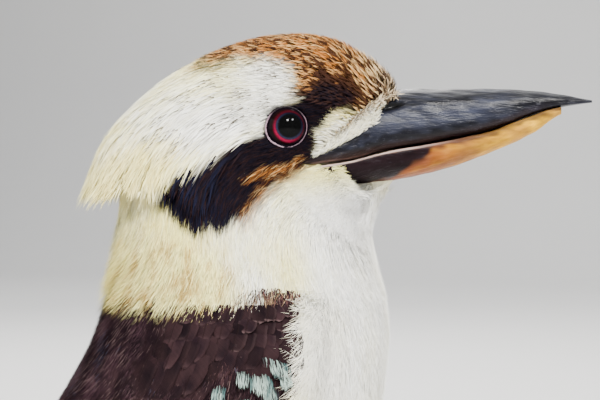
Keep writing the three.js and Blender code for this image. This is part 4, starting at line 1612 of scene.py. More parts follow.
@dataclass
class Plumage:
    """Skin and soft feathers of head, neck, trunk and thighs."""

    bill: Bill
    eye: Eye
    depth: float = 1.7
    skin_rings: int = 240
    skin_sides: int = 140
    thigh_rings: int = 30
    thigh_sides: int = 40
    feather_turns: tuple[float, ...] = (0, 27, 44, 50, 57, 75, 83, 88)
    feather_rows: tuple[float, ...] = (3.18, 3.18, 3.0, 2.6, 2.42, 2.42, 2.0, 1.5)
    head: tuple[Stretch, ...] = (
        Stretch("face", (0.0, 2.0), 30000),
        Stretch("head", (2.0, 3.3), 36000),
        Stretch("nape", (3.3, 4.8), 28000),
        Stretch("neck", (4.8, 6.2), 32000),
        Stretch("collar", (6.2, 7.3), 28000),
    )
    body: tuple[Stretch, ...] = (Stretch("breast", (7.2, 9.1), 25000), Stretch("belly", (9.1, 12.8), 19000))
    cheek: Outline = (
        (316, 133), (330, 121), (344, 114), (372, 110), (376, 124), (356, 138), (330, 152), (308, 160),
        (314, 144),
    )
    beard: Outline = ((292, 163), (336, 167), (345, 180), (352, 189), (374, 196), (374, 240), (256, 240))
    brow: Outline = ((130, 120), (190, 78), (285, 66), (292, 98), (160, 160))
    tick_tone: Colour = (0.075, 0.05, 0.02)
    thigh_bar: Colour = (0.36, 0.30, 0.24)

    def skin(self) -> Sheet:
        """One skin over head, neck and trunk.

        Returns:
            The closed skin.
        """
        rings, sides = self.skin_rings, self.skin_sides
        row, angle = grid(np.linspace(0, BODY_ROWS, rings), circle(sides))
        points, _ = BODY.place(row, angle, -self.depth * np.where(row < 1.2, 0.55, 1.0))
        tint, _ = COAT.colours(points, row, angle, np.full(len(row), 0.5))
        lay = np.stack([row, angle, 0 * row], axis=1)
        tube = split_quads(grid_faces(rings, sides, True))[:, ::-1]
        fan = np.stack([np.zeros(sides - 2, int), np.arange(2, sides), np.arange(1, sides - 1)], axis=1)
        faces = np.concatenate([tube, fan[:, ::-1], fan + (rings - 1) * sides])
        return Sheet(points, faces, tint, row / BODY_ROWS, lay, unwrap(angle, row / BODY_ROWS))

    def thigh_skin(self) -> Sheet:
        """Skin of the left thigh.

        Returns:
            The skin.
        """
        row, angle = grid(np.linspace(0, 1, self.thigh_rings), circle(self.thigh_sides))
        points, normal = Thigh().place(row, angle, -1.2)
        faces = split_quads(grid_faces(self.thigh_rings, self.thigh_sides, True))
        tint = np.full((len(points), 3), COAT.white)
        return Sheet(points, faces, tint, row, normal, unwrap(angle, 0.9 + 0.1 * row))

    def clear(self, tuft: Tuft) -> Tuft:
        """Blades kept off the bill and the open eye.

        Args:
            tuft: The blades.

        Returns:
            Those that stay.
        """
        keep = ~self.bill.holds(tuft.at(0.0)[0], -0.3)
        for share in (0.0, 0.35, 0.7, 1.0):
            keep &= self.eye.distance(tuft.at(share)[0]) > 6.0
        return tuft.kept(keep)

    def coat(self, stretch: Stretch, seed: int) -> Tuft:
        """Small feathers of one stretch of head and neck.

        Args:
            stretch: Which stretch.
            seed: Seed of their variation.

        Returns:
            The blades.
        """
        roots = Roots(BODY, stretch.rows, ALL_ROUND, stretch.count, seed)
        row, turn, points = roots.row, roots.turn, roots.points
        _, loose = roots.chance(), roots.chance()
        face = ease(2.4, 0.3, row)
        mask, crown = COAT.masked(points), COAT.crowned(points)
        near_eye = ease(13, 8, self.eye.distance(points))
        drape = ease(6.0, 6.9, row) * ease(137, 124, turn)
        length = 7.2 - 3.6 * face + 2.4 * ease(3.4, 5.5, row) - 2.6 * near_eye * (1 - face) + 1.2 * mask
        length = length * (1 - 0.25 * drape) * roots.uniform(0.6, 1.2)
        width = (0.46 + 0.12 * ease(4, 6, row) + 0.28 * crown * (1 - near_eye)) * roots.uniform(0.7, 1.3)
        heading = roots.normal() * (0.13 + 0.20 * face) + 0.14 * wobble(points, 8, 41)
        fluff = ease(5.4, 6.4, row) * ease(125, 100, turn)
        tip = -0.55 + 0.8 * loose + 0.4 * wobble(points, 5, 42) + 0.9 * crown * loose
        tip = tip * (1 - 0.7 * near_eye) + drape * (0.6 + 1.6 * loose) * ease(6.2, 7.0, row)
        tip = tip + fluff * (1.4 + 1.8 * loose)
        tuft = self.clear(roots.tuft(heading, length, width, (-self.depth - 0.45, tip)))
        share = 0.4 if stretch.rows[1] > 7 else 0.65
        return tuft.coloured(np.random.default_rng(seed + 50).random(len(tuft.row)), share=share)

    def lores(self) -> Tuft:
        """Short barbs between eye and bill, which lie forward over the root of the bill.

        Returns:
            The blades.
        """
        roots = Roots(BODY, (0.4, 2.9), (-150, 150), 30000, 8)
        heading = math.pi + roots.normal(0.3) - 0.45 * np.sign(roots.angle)
        heights = (-1.6, roots.uniform(-0.2, 0.5), roots.uniform(0.3, 1.2))
        width = roots.uniform(0.22, 0.4)
        tuft = roots.tuft(heading, roots.uniform(2.4, 4.2), width, heights)
        chart = SideChart.ragged(roots.points, 1.5, (4, 4), 16)
        tuft = tuft.kept(SideChart.inside(chart, self.cheek, 4) > roots.chance())
        tip = tuft.at(1.0)[0]
        x, z = tip[:, 0], tip[:, 2]
        over = (z > self.bill.mouth(x) + 1.6 + 0.12 * np.maximum(x - 44, 0)) | (x < 40)
        tuft = tuft.kept(over & (self.eye.distance(tuft.at(0.0)[0]) > 7) & (self.eye.distance(tip) > 6.6))
        return self.frost(tuft, roots.rng)

    def frost(self, tuft: Tuft, rng: np.random.Generator) -> Tuft:
        """White and cream for the barbs between eye and bill, a few of them dark.

        Args:
            tuft: The barbs.
            rng: Where random numbers come from.

        Returns:
            The same barbs, coloured.
        """
        count = len(tuft.row)
        tint = mix(COAT.white, COAT.cream, rng.uniform(0, 0.5, count)) * rng.uniform(0.8, 1.0, (count, 1))
        tint = mix(tint, COAT.umber, (rng.random(count) < 0.07) * 0.8)
        return replace(tuft, edge=tint, shaft=tint * 0.8)

    def fringe(self) -> Tuft:
        """Barbs that run out over the root of the upper bill, as far as the feather line of the face.

        Returns:
            The blades.
        """
        surface = BillSide(self.bill)
        roots = Roots(surface, (0.5, 3.1), (-86, 86), 21000, 18, fading(34, 50))
        row, angle, turn = roots.row, roots.angle, roots.turn
        line = np.interp(turn, self.feather_turns, self.feather_rows) + 0.2 * wobble(roots.points, 2.2, 19)
        span = np.linalg.norm(surface.slopes(row, angle)[0], axis=1)
        loose, forehead = roots.chance(), ease(64, 48, turn)
        length = np.minimum(roots.uniform(2.0, 3.8), (line + 0.4 * loose**2 - row) * span)
        lean = 0.30 - 0.45 * ease(62, 82, turn)
        heading = roots.normal() * (0.45 + 0.3 * forehead) + lean * np.sign(angle)
        heights = (-0.7, 0.2 + (0.7 + forehead) * loose, 0.1 + (1.6 + forehead) * loose**2)
        tuft = roots.tuft(heading, length, roots.uniform(0.18, 0.32) + 0.15 * forehead, heights)
        tuft = tuft.kept((length > 1.0) & (row > line - 1.0) & (turn_of(tuft.at(1.0)[3]) < 83))
        tuft = tuft.kept(self.eye.distance(tuft.at(0.0)[0]) > 7.2)
        pale = self.frost(tuft, roots.rng)
        points = tuft.at(0.5)[0]
        front = ease(58, 46, turn_of(tuft.angle))
        tone = COAT.crown_colours(points, SideChart.of(points) + [24, 0], roots.rng.random(len(points)))
        return replace(pale, edge=mix(pale.edge, tone, front), shaft=mix(pale.shaft, tone * 0.6, front))

    def chin(self) -> Tuft:
        """Barbs of the chin that swell out over the root of the lower bill and end in a ragged edge.

        Returns:
            The blades.
        """
        surface = Raised(BODY, chin_rise)
        roots = Roots(surface, (0.7, 3.6), (-178, 178), 34000, 33, fading(96, 104))
        chart = SideChart.ragged(roots.points, 1.5, (3, 3), 51)
        loose = roots.chance()
        edge = np.interp(chart[:, 1], [165, 180, 190, 205], [338, 345, 352, 356])
        near = ease(16, 5, edge - chart[:, 0]) * ease(200, 188, chart[:, 1])
        ahead = roots.chance() < 0.75 * near
        heading = roots.normal(0.3 + 0.15 * near) + math.pi * ahead
        full = ease(0.2, 2.4, chin_rise(roots.row, roots.angle))
        heights = (-1.2, 0.8 * loose - 0.5 + full * (0.6 + (0.1 + 0.9 * near) * loose))
        length = roots.uniform(3.0, 5.5) * (1 - 0.3 * near)
        tuft = roots.tuft(heading, length, roots.uniform(0.24, 0.42), heights)
        tip = SideChart.of(tuft.at(1.0)[0])
        grown = SideChart.inside(chart, self.beard, 3) > 0.5
        tuft = tuft.kept(grown & (tip[:, 1] > 169 - 0.1 * (tip[:, 0] - 300)))
        return tuft.coloured(roots.rng.random(len(tuft.row)))

    def locks(self) -> Tuft:
        """Pointed feathers that stand a little off the crown and forehead.

        Returns:
            The blades.
        """
        roots = Roots(BODY, (0.12, 3.5), (-100, 100), 5200, 9)
        points, front = roots.points, ease(2.6, 0.6, roots.row)
        middle, tip = roots.uniform(0.0, 0.7), roots.uniform(0.6, 1.4) + 1.2 * front
        heights = (-1.2, middle, tip * roots.uniform(0.5, 1.0))
        length = roots.uniform(4.2, 6.8) - 1.2 * front
        width = roots.uniform(0.65, 1.25)
        heading = roots.normal(0.2) + 0.14 * wobble(points, 8, 41)
        tuft = roots.tuft(heading, length, width, heights, thick=0.12)
        tuft = self.clear(tuft.kept((COAT.crowned(points) > 0.6) & (self.eye.distance(points) > 12)))
        chance = roots.rng.random(len(tuft.row))
        tuft = tuft.coloured(np.clip(chance + 0.12, 0, 1))
        return replace(tuft, shaft=mix(tuft.shaft, COAT.umber, np.full(len(chance), 0.75)))

    def crest(self) -> Tuft:
        """Long loose feathers at the back of the crown, hanging off the nape in points.

        Returns:
            The blades.
        """
        roots = Roots(Raised(BODY, crest_rise), (3.3, 5.35), (-86, 86), 13500, 7)
        row, angle, locks = roots.row, roots.angle, 40
        points = BODY.bare(row, angle)
        sideways = np.clip(roots.turn / 86, 0, 1)
        phase = np.degrees(angle) / 8 + 0.4 * wobble(points * [0.3, 1, 1], 12, 44)
        aside = phase % 1 - 0.5
        own = roots.rng.normal(0, 1, (3, locks))[:, (np.floor(phase) % locks).astype(int)]
        end = 6.2 - 0.86 * sideways**1.4 - 0.2 * roots.chance() ** 2 - 0.5 * np.abs(aside) + 0.15 * own[0]
        length = np.minimum(roots.uniform(11, 19), (end - row) * 23)
        buried = roots.chance()
        root = -2.4 - 1.2 * buried - 0.35 * crest_rise(row, angle)
        tip = -2.6 * buried**1.5 * ease(3.6, 4.8, row) + 0.5 * wobble(points, 4, 45) + 0.35
        tip = tip + ease(4.2, 5.2, row) * (0.8 * own[1] + 1.2 * (0.5 - np.abs(aside)))
        width = roots.uniform(0.4, 0.8)
        heading = roots.normal(0.08) + 0.08 * wobble(points, 8, 43)
        heading = heading + (0.10 * own[2] - 0.36 * aside) * ease(4.0, 5.0, row)
        tuft = roots.tuft(heading, length, width, (root, 0.55 * tip + 0.1 * root, tip), thick=0.1)
        tuft = tuft.kept(length > 4)
        return tuft.coloured(roots.rng.random(len(tuft.row)))

    def ticks(self) -> Tuft:
        """Fine dark hair-like marks scattered over the pale brow.

        Returns:
            The blades.
        """
        roots = Roots(Raised(BODY, crest_rise), (1.8, 5.0), (-80, 80), 2600, 10)
        brow = SideChart.inside(SideChart.of(roots.points), self.brow, 8)
        heights = (0.3, roots.uniform(0.8, 1.4))
        width, length = roots.uniform(0.2, 0.42), roots.uniform(1.2, 3.0)
        tuft = roots.tuft(roots.normal(0.25), length, width, heights)
        tuft = tuft.kept(brow * ease(-0.5, 0.6, wobble(roots.points, 9, 9)) > roots.chance())
        tone = np.full((len(tuft.row), 3), self.tick_tone)
        return replace(tuft, edge=tone, shaft=tone)

    def trunk(self, stretch: Stretch, seed: int) -> Tuft:
        """Longer feathers of breast, belly, flanks, back and rump.

        Args:
            stretch: Which stretch.
            seed: Seed of their variation.

        Returns:
            The blades.
        """

        def seen(rows: Array, angles: Array) -> Array:
            """Density of feathers: few where the folded wing lies."""
            turn = turn_of(angles)
            return 1 - 0.94 * ease(12, 26, turn) * ease(119, 110, turn) * ease(12.2, 11.2, rows)

        roots = Roots(BODY, stretch.rows, ALL_ROUND, stretch.count, seed, seen)
        row = roots.row
        length = (9.5 + 3 * ease(8, 10, row)) * (1 - 0.45 * ease(11.5, 13, row)) * roots.uniform(0.75, 1.15)
        width, loose = roots.uniform(0.55, 0.95), roots.chance()
        spine = ease(26, 8, roots.turn) * ease(11, 9.5, row)
        heights = (-self.depth - 0.6, -0.5 + 1.0 * loose + 2.6 * spine)
        heading = roots.normal(0.14) + 0.12 * wobble(roots.points, 9, 46)
        return roots.tuft(heading, length, width, heights, thick=0.09).coloured(roots.chance())

    def lap(self) -> Tuft:
        """White feathers of the breast that swell up to the folded wing and lap over its front edge.

        Returns:
            The blades of the left side.
        """

        def grown(rows: Array, angles: Array) -> Array:
            """Density of feathers: denser towards the wing."""
            return ease(153, 138, turn_of(angles)) * ease(6.0, 6.7, rows)

        roots = Roots(Raised(BODY, lap_rise), (6.1, 10.4), (126, 152), 15000, 31, grown)
        row, angle, loose = roots.row, roots.angle, roots.chance()
        heading = -(0.75 + roots.normal(0.38)) * ease(150, 136, roots.turn)
        length = roots.uniform(3.6, 9.5) * (1 - 0.3 * ease(7.0, 6.4, row))
        width = roots.uniform(0.22, 0.42)
        front = np.sign(angle) * np.maximum(np.abs(angle), math.radians(130))
        edge, _ = COAT.colours(roots.points, row, front, roots.chance())
        return roots.tuft(heading, length, width, (-1.3, 0.3 + 1.4 * loose), edge=edge, shaft=edge * 0.95)

    def flank(self) -> Tuft:
        """Loose feathers of the flank that hang over the top of the thigh.

        Returns:
            The blades of the left side.
        """
        roots = Roots(BODY, (9.9, 10.9), (103, 162), 3200, 32)
        loose, turn = roots.chance(), roots.turn
        swell = ease(161, 140, turn) * ease(102, 113, turn) * ease(9.7, 10.3, roots.row)
        heights = (-1.5, 0.3 + (1.0 + 1.4 * loose) * swell, 0.4 + (2.6 + 3.4 * loose) * swell)
        width = roots.uniform(0.45, 0.85)
        tuft = roots.tuft(roots.normal(0.18), roots.uniform(8, 13), width, heights, thick=0.07)
        return tuft.coloured(roots.chance())

    def thighs(self) -> Tuft:
        """Feathers of the thigh.

        Returns:
            The blades of the left side.
        """
        roots = Roots(Thigh(), (0.1, 1.0), ALL_ROUND, 6000, 12)
        points = roots.points
        white = mix(COAT.white, COAT.cream, np.clip(0.3 + 0.3 * wobble(points, 12, 47), 0, 1))
        edge = mix(white, self.thigh_bar, 0.3 * ease(0.2, 0.8, np.sin(points[:, 2] * 0.9)))
        heights = (-1.8, roots.uniform(-0.3, 0.9))
        heading, width, length = roots.normal(0.15), roots.uniform(0.5, 0.85), roots.uniform(6, 9)
        more = {"edge": edge, "shaft": edge * 0.95, "thick": 0.09, "rows_in_all": 8.0}
        return roots.tuft(heading, length, width, heights, **more)

    def build(self) -> None:
        """Makes the skin and every stretch of the coat."""
        skin = self.skin().build("skin", SKIN, "plumage_cream", smooth=True)
        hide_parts("head", "neck", "torso")
        for side in Side:
            thigh = self.thigh_skin().on(side)
            piece = thigh.build(f"thigh_skin_{side.value}", SKIN, "plumage_cream", smooth=True)
            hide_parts(f"thigh_{side.value}")
        for seed, stretch in enumerate(self.head, 20):
            self.coat(stretch, seed).sheet().build(f"coat_{stretch.name}", BARBS, "plumage_cream")
        for grow in (self.crest, self.lores, self.fringe, self.chin, self.locks, self.ticks):
            grow().sheet().build(f"coat_{grow.__name__}", BARBS, "plumage_cream")
        for seed, stretch in enumerate(self.body, 51):
            self.trunk(stretch, seed).sheet().build(f"coat_{stretch.name}", BARBS, "plumage_cream")
        for grow in (self.thighs, self.lap, self.flank):
            one = grow().sheet()
            Sheet.joined([one, one.mirrored()]).build(f"coat_{grow.__name__}", BARBS, "plumage_cream")


# Vanes of wings and tail


class Marking(Enum):
    """Patterns of the large feathers."""

    PLAIN = "plain"
    EDGED = "edged"
    BARRED = "barred"
    FLIGHT = "flight"


def two_sided(
    top: Array, low: Array, faces: Array, tints: tuple[Array, Array], along: Array, lay: Array, patch: Array
) -> Sheet:
    """A sheet of an upper and a lower layer of points.

    Args:
        top: Points of the upper layer.
        low: Points of the lower layer.
        faces: Point numbers of its faces, the upper layer's points first.
        tints: Colours of the two layers.
        along: Share of the way to the tip, alike for both layers, as are the next two.
        lay: Place on the feather.
        patch: Place on the unwrap.

    Returns:
        The sheet.
    """
    pairs = ((top, low), tints, (lay, lay), (patch, patch))
    points, tint, lays, patches = (np.vstack(pair) for pair in pairs)
    return Sheet(points, faces, tint, np.append(along, along), lays, patches)


@dataclass
class VaneShape:
    """One feather vane as a thin closed plate with a shaft, sampled on a grid."""

    width: float
    thick: float
    marking: Marking
    seed: int
    along: int = 17
    across: int = 9
    shoulder: float = 0.72
    white_tip: float = 0.0
    narrow_root: float = 0.45
    bar_length: float = 15.0
    # painted sheen: a lighter tone laid in patches at random on each vane
    sheen: Colour = (0.036, 0.018, 0.019)
    edged_rim: Colour = (0.12, 0.075, 0.075)
    plain_rim: Colour = (0.05, 0.028, 0.03)
    pale_bar: Colour = (0.36, 0.13, 0.035)
    dark_bar: Colour = (0.014, 0.008, 0.009)
    tip_white: Colour = (0.80, 0.77, 0.70)
    flight_tip: Colour = (0.012, 0.007, 0.009)

    def outline(self, s: Array) -> Array:
        """Share of the full width along the vane.

        Args:
            s: Share of the way to the tip.

        Returns:
            The share of the width at each.
        """
        from_quill = np.minimum(1, self.narrow_root + 2.2 * s)
        past = np.clip((s - self.shoulder) / (1.015 - self.shoulder), 0, 1)
        return from_quill * np.sqrt(np.maximum(1 - past**2, 0.004))

    def colours(self, s: Array, b: Array, length: float) -> Array:
        """Colour at places on the vane.

        Args:
            s: Share of the way to the tip.
            b: Place across, from -1 to 1.
            length: Length of the vane.

        Returns:
            One colour per place.
        """
        tone = np.random.default_rng(self.seed).uniform(0.5, 1.05)
        far = s * length
        place = np.stack([far, b * self.width / 2, np.full(len(s), float(self.seed))], axis=1)
        # Patches of painted sheen, placed at random on each vane.
        patches = np.clip(0.5 + 0.5 * wobble(place, 7, self.seed % 97), 0, 1)
        colour = mix(np.array(COAT.mantle) * tone, np.array(self.sheen) * tone, patches * 0.6)
        broad, rim_tone = (0.9, self.edged_rim) if self.marking is Marking.EDGED else (1.8, self.plain_rim)
        rim = ease(0.72, 0.98, np.abs(b)) * 0.3 + ease(length - broad, length - 0.3, far)
        colour = mix(colour, rim_tone, np.clip(rim, 0, 1) * 0.5)
        if self.marking is Marking.BARRED:
            wave = np.sin(2 * math.pi * (far + 3 * np.abs(b) + 0.8 * wobble(place, 6, 6)) / self.bar_length)
            colour = mix(self.pale_bar, self.dark_bar, ease(-0.15, 0.25, wave))
        if self.white_tip:
            starts, full = length - self.white_tip, length - 0.7 * self.white_tip
            colour = mix(colour, self.tip_white, ease(starts, full, far + 1.2 * wobble(place, 5, 7)))
        if self.marking is Marking.FLIGHT:
            colour = mix(colour, self.flight_tip, 0.5 * ease(0.5, 1.0, s))
        return colour

    def sheet(self, place: Callable[[Array, Array, Array], Array], length: float, uv: Span) -> Sheet:
        """The vane laid out by a placing function.

        Args:
            place: Gives points from s, millimetres across and height over the bed.
            length: Length of the vane in millimetres.
            uv: Where its patch of the unwrap starts.

        Returns:
            The closed sheet.
        """
        rng = np.random.default_rng(self.seed + 5)
        along, across = self.along, self.across
        s, b = grid(1 - (1 - np.linspace(0, 1, along)) ** 1.35, np.linspace(-1, 1, across))
        ragged = 1 - 0.07 * rng.random(len(s)) * (np.abs(b) > 0.95)
        half = self.width / 2 * self.outline(s) * ragged
        frayed = s + rng.uniform(-0.6, 0.6, len(s)) * (s > 0.999) / max(length, 1)
        tops = place(frayed, b * half, self.thick * (1 - 0.5 * np.abs(b)))
        lows = place(frayed, b * half, 0 * s)
        count, last = len(s), (along - 1) * across
        rim = np.concatenate([
            np.arange(across), np.arange(2, along + 1) * across - 1,
            last + np.arange(across - 2, -1, -1), np.arange(along - 2, 0, -1) * across,
        ])
        after = np.roll(rim, -1)
        top = grid_faces(along, across, False)
        wall = np.stack([rim, rim + count, after + count, after], axis=1)
        faces = split_quads(np.concatenate([top, top[:, ::-1] + count, wall]))
        tint = self.colours(s, b, length)
        lay = np.stack([s * length, b * half, np.full(count, float(self.seed))], axis=1)
        patch = np.stack([uv[0] + 0.02 * b, uv[1] + 0.09 * s], axis=1)
        # The lower layer, which faces the bed, is painted a fifth darker as shade.
        return two_sided(tops, lows, faces, (tint, tint * 0.8), s, lay, patch)


def flight_tip_row(f: float) -> float:
    """Row where a flight feather ends: the long primaries first, then the shorter secondaries.

    Args:
        f: Share of the way along the tier.

    Returns:
        The row number.
    """
    primaries = 0.44
    if f < primaries:
        return 6.55 - 0.42 * abs(f / primaries - 0.4) ** 1.6
    return 5.3 - 0.95 * ((f - primaries) / (1 - primaries)) ** 2.2


@dataclass
class Tier:
    """A row of feathers on the folded wing, the first at the belly side.

    Rows and turns are pairs: the value at the first feather and the value at the last. Heights are those at
    root, middle and tip.
    """

    name: str
    count: int
    width: float
    heights: tuple[float, float, float]
    root_rows: Span
    root_turns: Span
    tip_rows: Span | Callable[[float], float]
    tip_turns: Span
    marking: Marking = Marking.PLAIN
    thick: float = 0.24
    clearance: float = 0.14
    along: int = 13
    across: int = 7
    shoulder: float = 0.5
    stagger: float = 0.09
    marked: float = 1.0

    @staticmethod
    def between(ends: Span, f: float) -> float:
        """The value at share f of the tier."""
        return ends[0] + (ends[1] - ends[0]) * f

    def vane(self, i: int, seed: int) -> Sheet:
        """One vane of the tier on the left wing.

        Args:
            i: Its number.
            seed: Seed of the tier.

        Returns:
            The vane.
        """
        jitter = np.random.default_rng(seed * 100 + i).uniform(-1, 1, 3)
        steps = max(self.count - 1, 1)
        f = i / steps
        root_turn, tip_turn = (self.between(ends, f) for ends in (self.root_turns, self.tip_turns))
        tip_turn += 0.7 * jitter[1]
        pitch = [math.radians(abs(ends[1] - ends[0])) / steps for ends in (self.root_turns, self.tip_turns)]
        root_row = self.between(self.root_rows, f)
        tip_row = self.tip_rows(f) if callable(self.tip_rows) else self.between(self.tip_rows, f)
        tip_row += self.stagger * jitter[0]

        def place(s: Array, b: Array, height: Array) -> Array:
            """Points of the vane.

            Args:
                s: Share of the way to the tip.
                b: Millimetres across.
                height: Height over its bed.

            Returns:
                One point each.
            """
            row = root_row + (tip_row - root_row) * s
            angle = np.radians(root_turn + (tip_turn - root_turn) * s)
            per_radian = np.linalg.norm(WING_BED.slopes(row, angle)[1], axis=-1)
            step = pitch[0] + (pitch[1] - pitch[0]) * s
            slope = (self.thick + self.clearance) / np.maximum(step * per_radian, 1.4)
            rise = (np.interp(s, [0, 0.45, 1], self.heights) + 0.25 * jitter[2] * s) * wing_height(angle)
            lifted = rise + slope * (b + self.width * 0.5)
            return WING_BED.place(row, angle + b / per_radian, lifted + height)[0]

        ends = place(np.array([0.0, 1.0]), np.zeros(2), np.zeros(2))
        length = float(np.linalg.norm(ends[1] - ends[0]))
        width = self.width * (1 + 0.05 * jitter[2])
        marking = self.marking if f <= self.marked else Marking.PLAIN
        shape = VaneShape(width, self.thick, marking, seed * 50 + i, self.along, self.across, self.shoulder)
        return shape.sheet(place, length, (0.02 + 0.9 * f, 0.1 * (seed % 9)))

    def sheets(self, seed: int) -> list[Sheet]:
        """All vanes of the tier on the left wing."""
        log.info("%s tier: %d vanes", self.name, self.count)
        return [self.vane(i, seed) for i in range(self.count)]


LARGE = {"thick": 0.3, "clearance": 0.16, "along": 17, "across": 9}
LONG = {**LARGE, "clearance": 0.12, "along": 22, "shoulder": 0.72, "stagger": 0.04, "marking": Marking.FLIGHT}
# Tiers of the folded wing, lowest first, by what they have in common.
TIERS = (
    (LONG, (("flight", 19, 15.5, (1.4, 1.2, 0.8), (1.25, 2.25), (115, 44), flight_tip_row, (102, 24)),)),
    ({}, (
        ("greater", 13, 13.0, (2.6, 4.0, 3.6), (0.95, 1.75), (117, 50), (2.72, 3.35), (113, 44)),
        ("median_low", 13, 11.5, (3.2, 5.0, 4.8), (0.7, 1.35), (118, 56), (2.05, 2.75), (115, 50)),
        ("median_high", 13, 10.5, (3.8, 5.7, 5.5), (0.45, 1.05), (119, 60), (1.5, 2.25), (117, 55)),
        ("lesser_low", 13, 9.0, (4.0, 6.1, 6.0), (0.3, 0.85), (120, 66), (0.98, 1.75), (119, 62)),
        ("lesser_mid", 12, 8.5, (4.0, 6.4, 6.4), (0.12, 0.6), (120, 72), (0.66, 1.42), (120, 70)),
    )),
    ({"marking": Marking.EDGED, "marked": 0.5}, (
        ("lesser_high", 15, 6.4, (2.4, 5.8, 6.4), (0.02, 0.35), (121, 78), (0.42, 1.02), (121, 76)),
        ("lesser_top", 15, 5.5, (1.0, 4.2, 5.6), (-0.12, 0.12), (121, 80), (0.22, 0.62), (121, 79)),
        ("lesser_rim", 14, 5.0, (0.4, 2.4, 4.2), (-0.25, -0.02), (121, 84), (0.02, 0.34), (121, 83)),
    )),
    (LARGE, (
        ("scapular_low", 8, 19.0, (3.4, 5.6, 4.2), (0.8, 1.2), (70, 14), (2.5, 3.2), (74, 16)),
        ("scapular_mid", 8, 17.0, (2.6, 5.9, 5.4), (0.4, 0.75), (78, 12), (1.75, 2.35), (82, 13)),
    )),
    ({**LARGE, "along": 15}, (
        ("scapular_high", 9, 14.0, (0.8, 4.4, 5.8), (0.2, 0.35), (86, 9), (1.0, 1.5), (90, 11)),
    )),
)


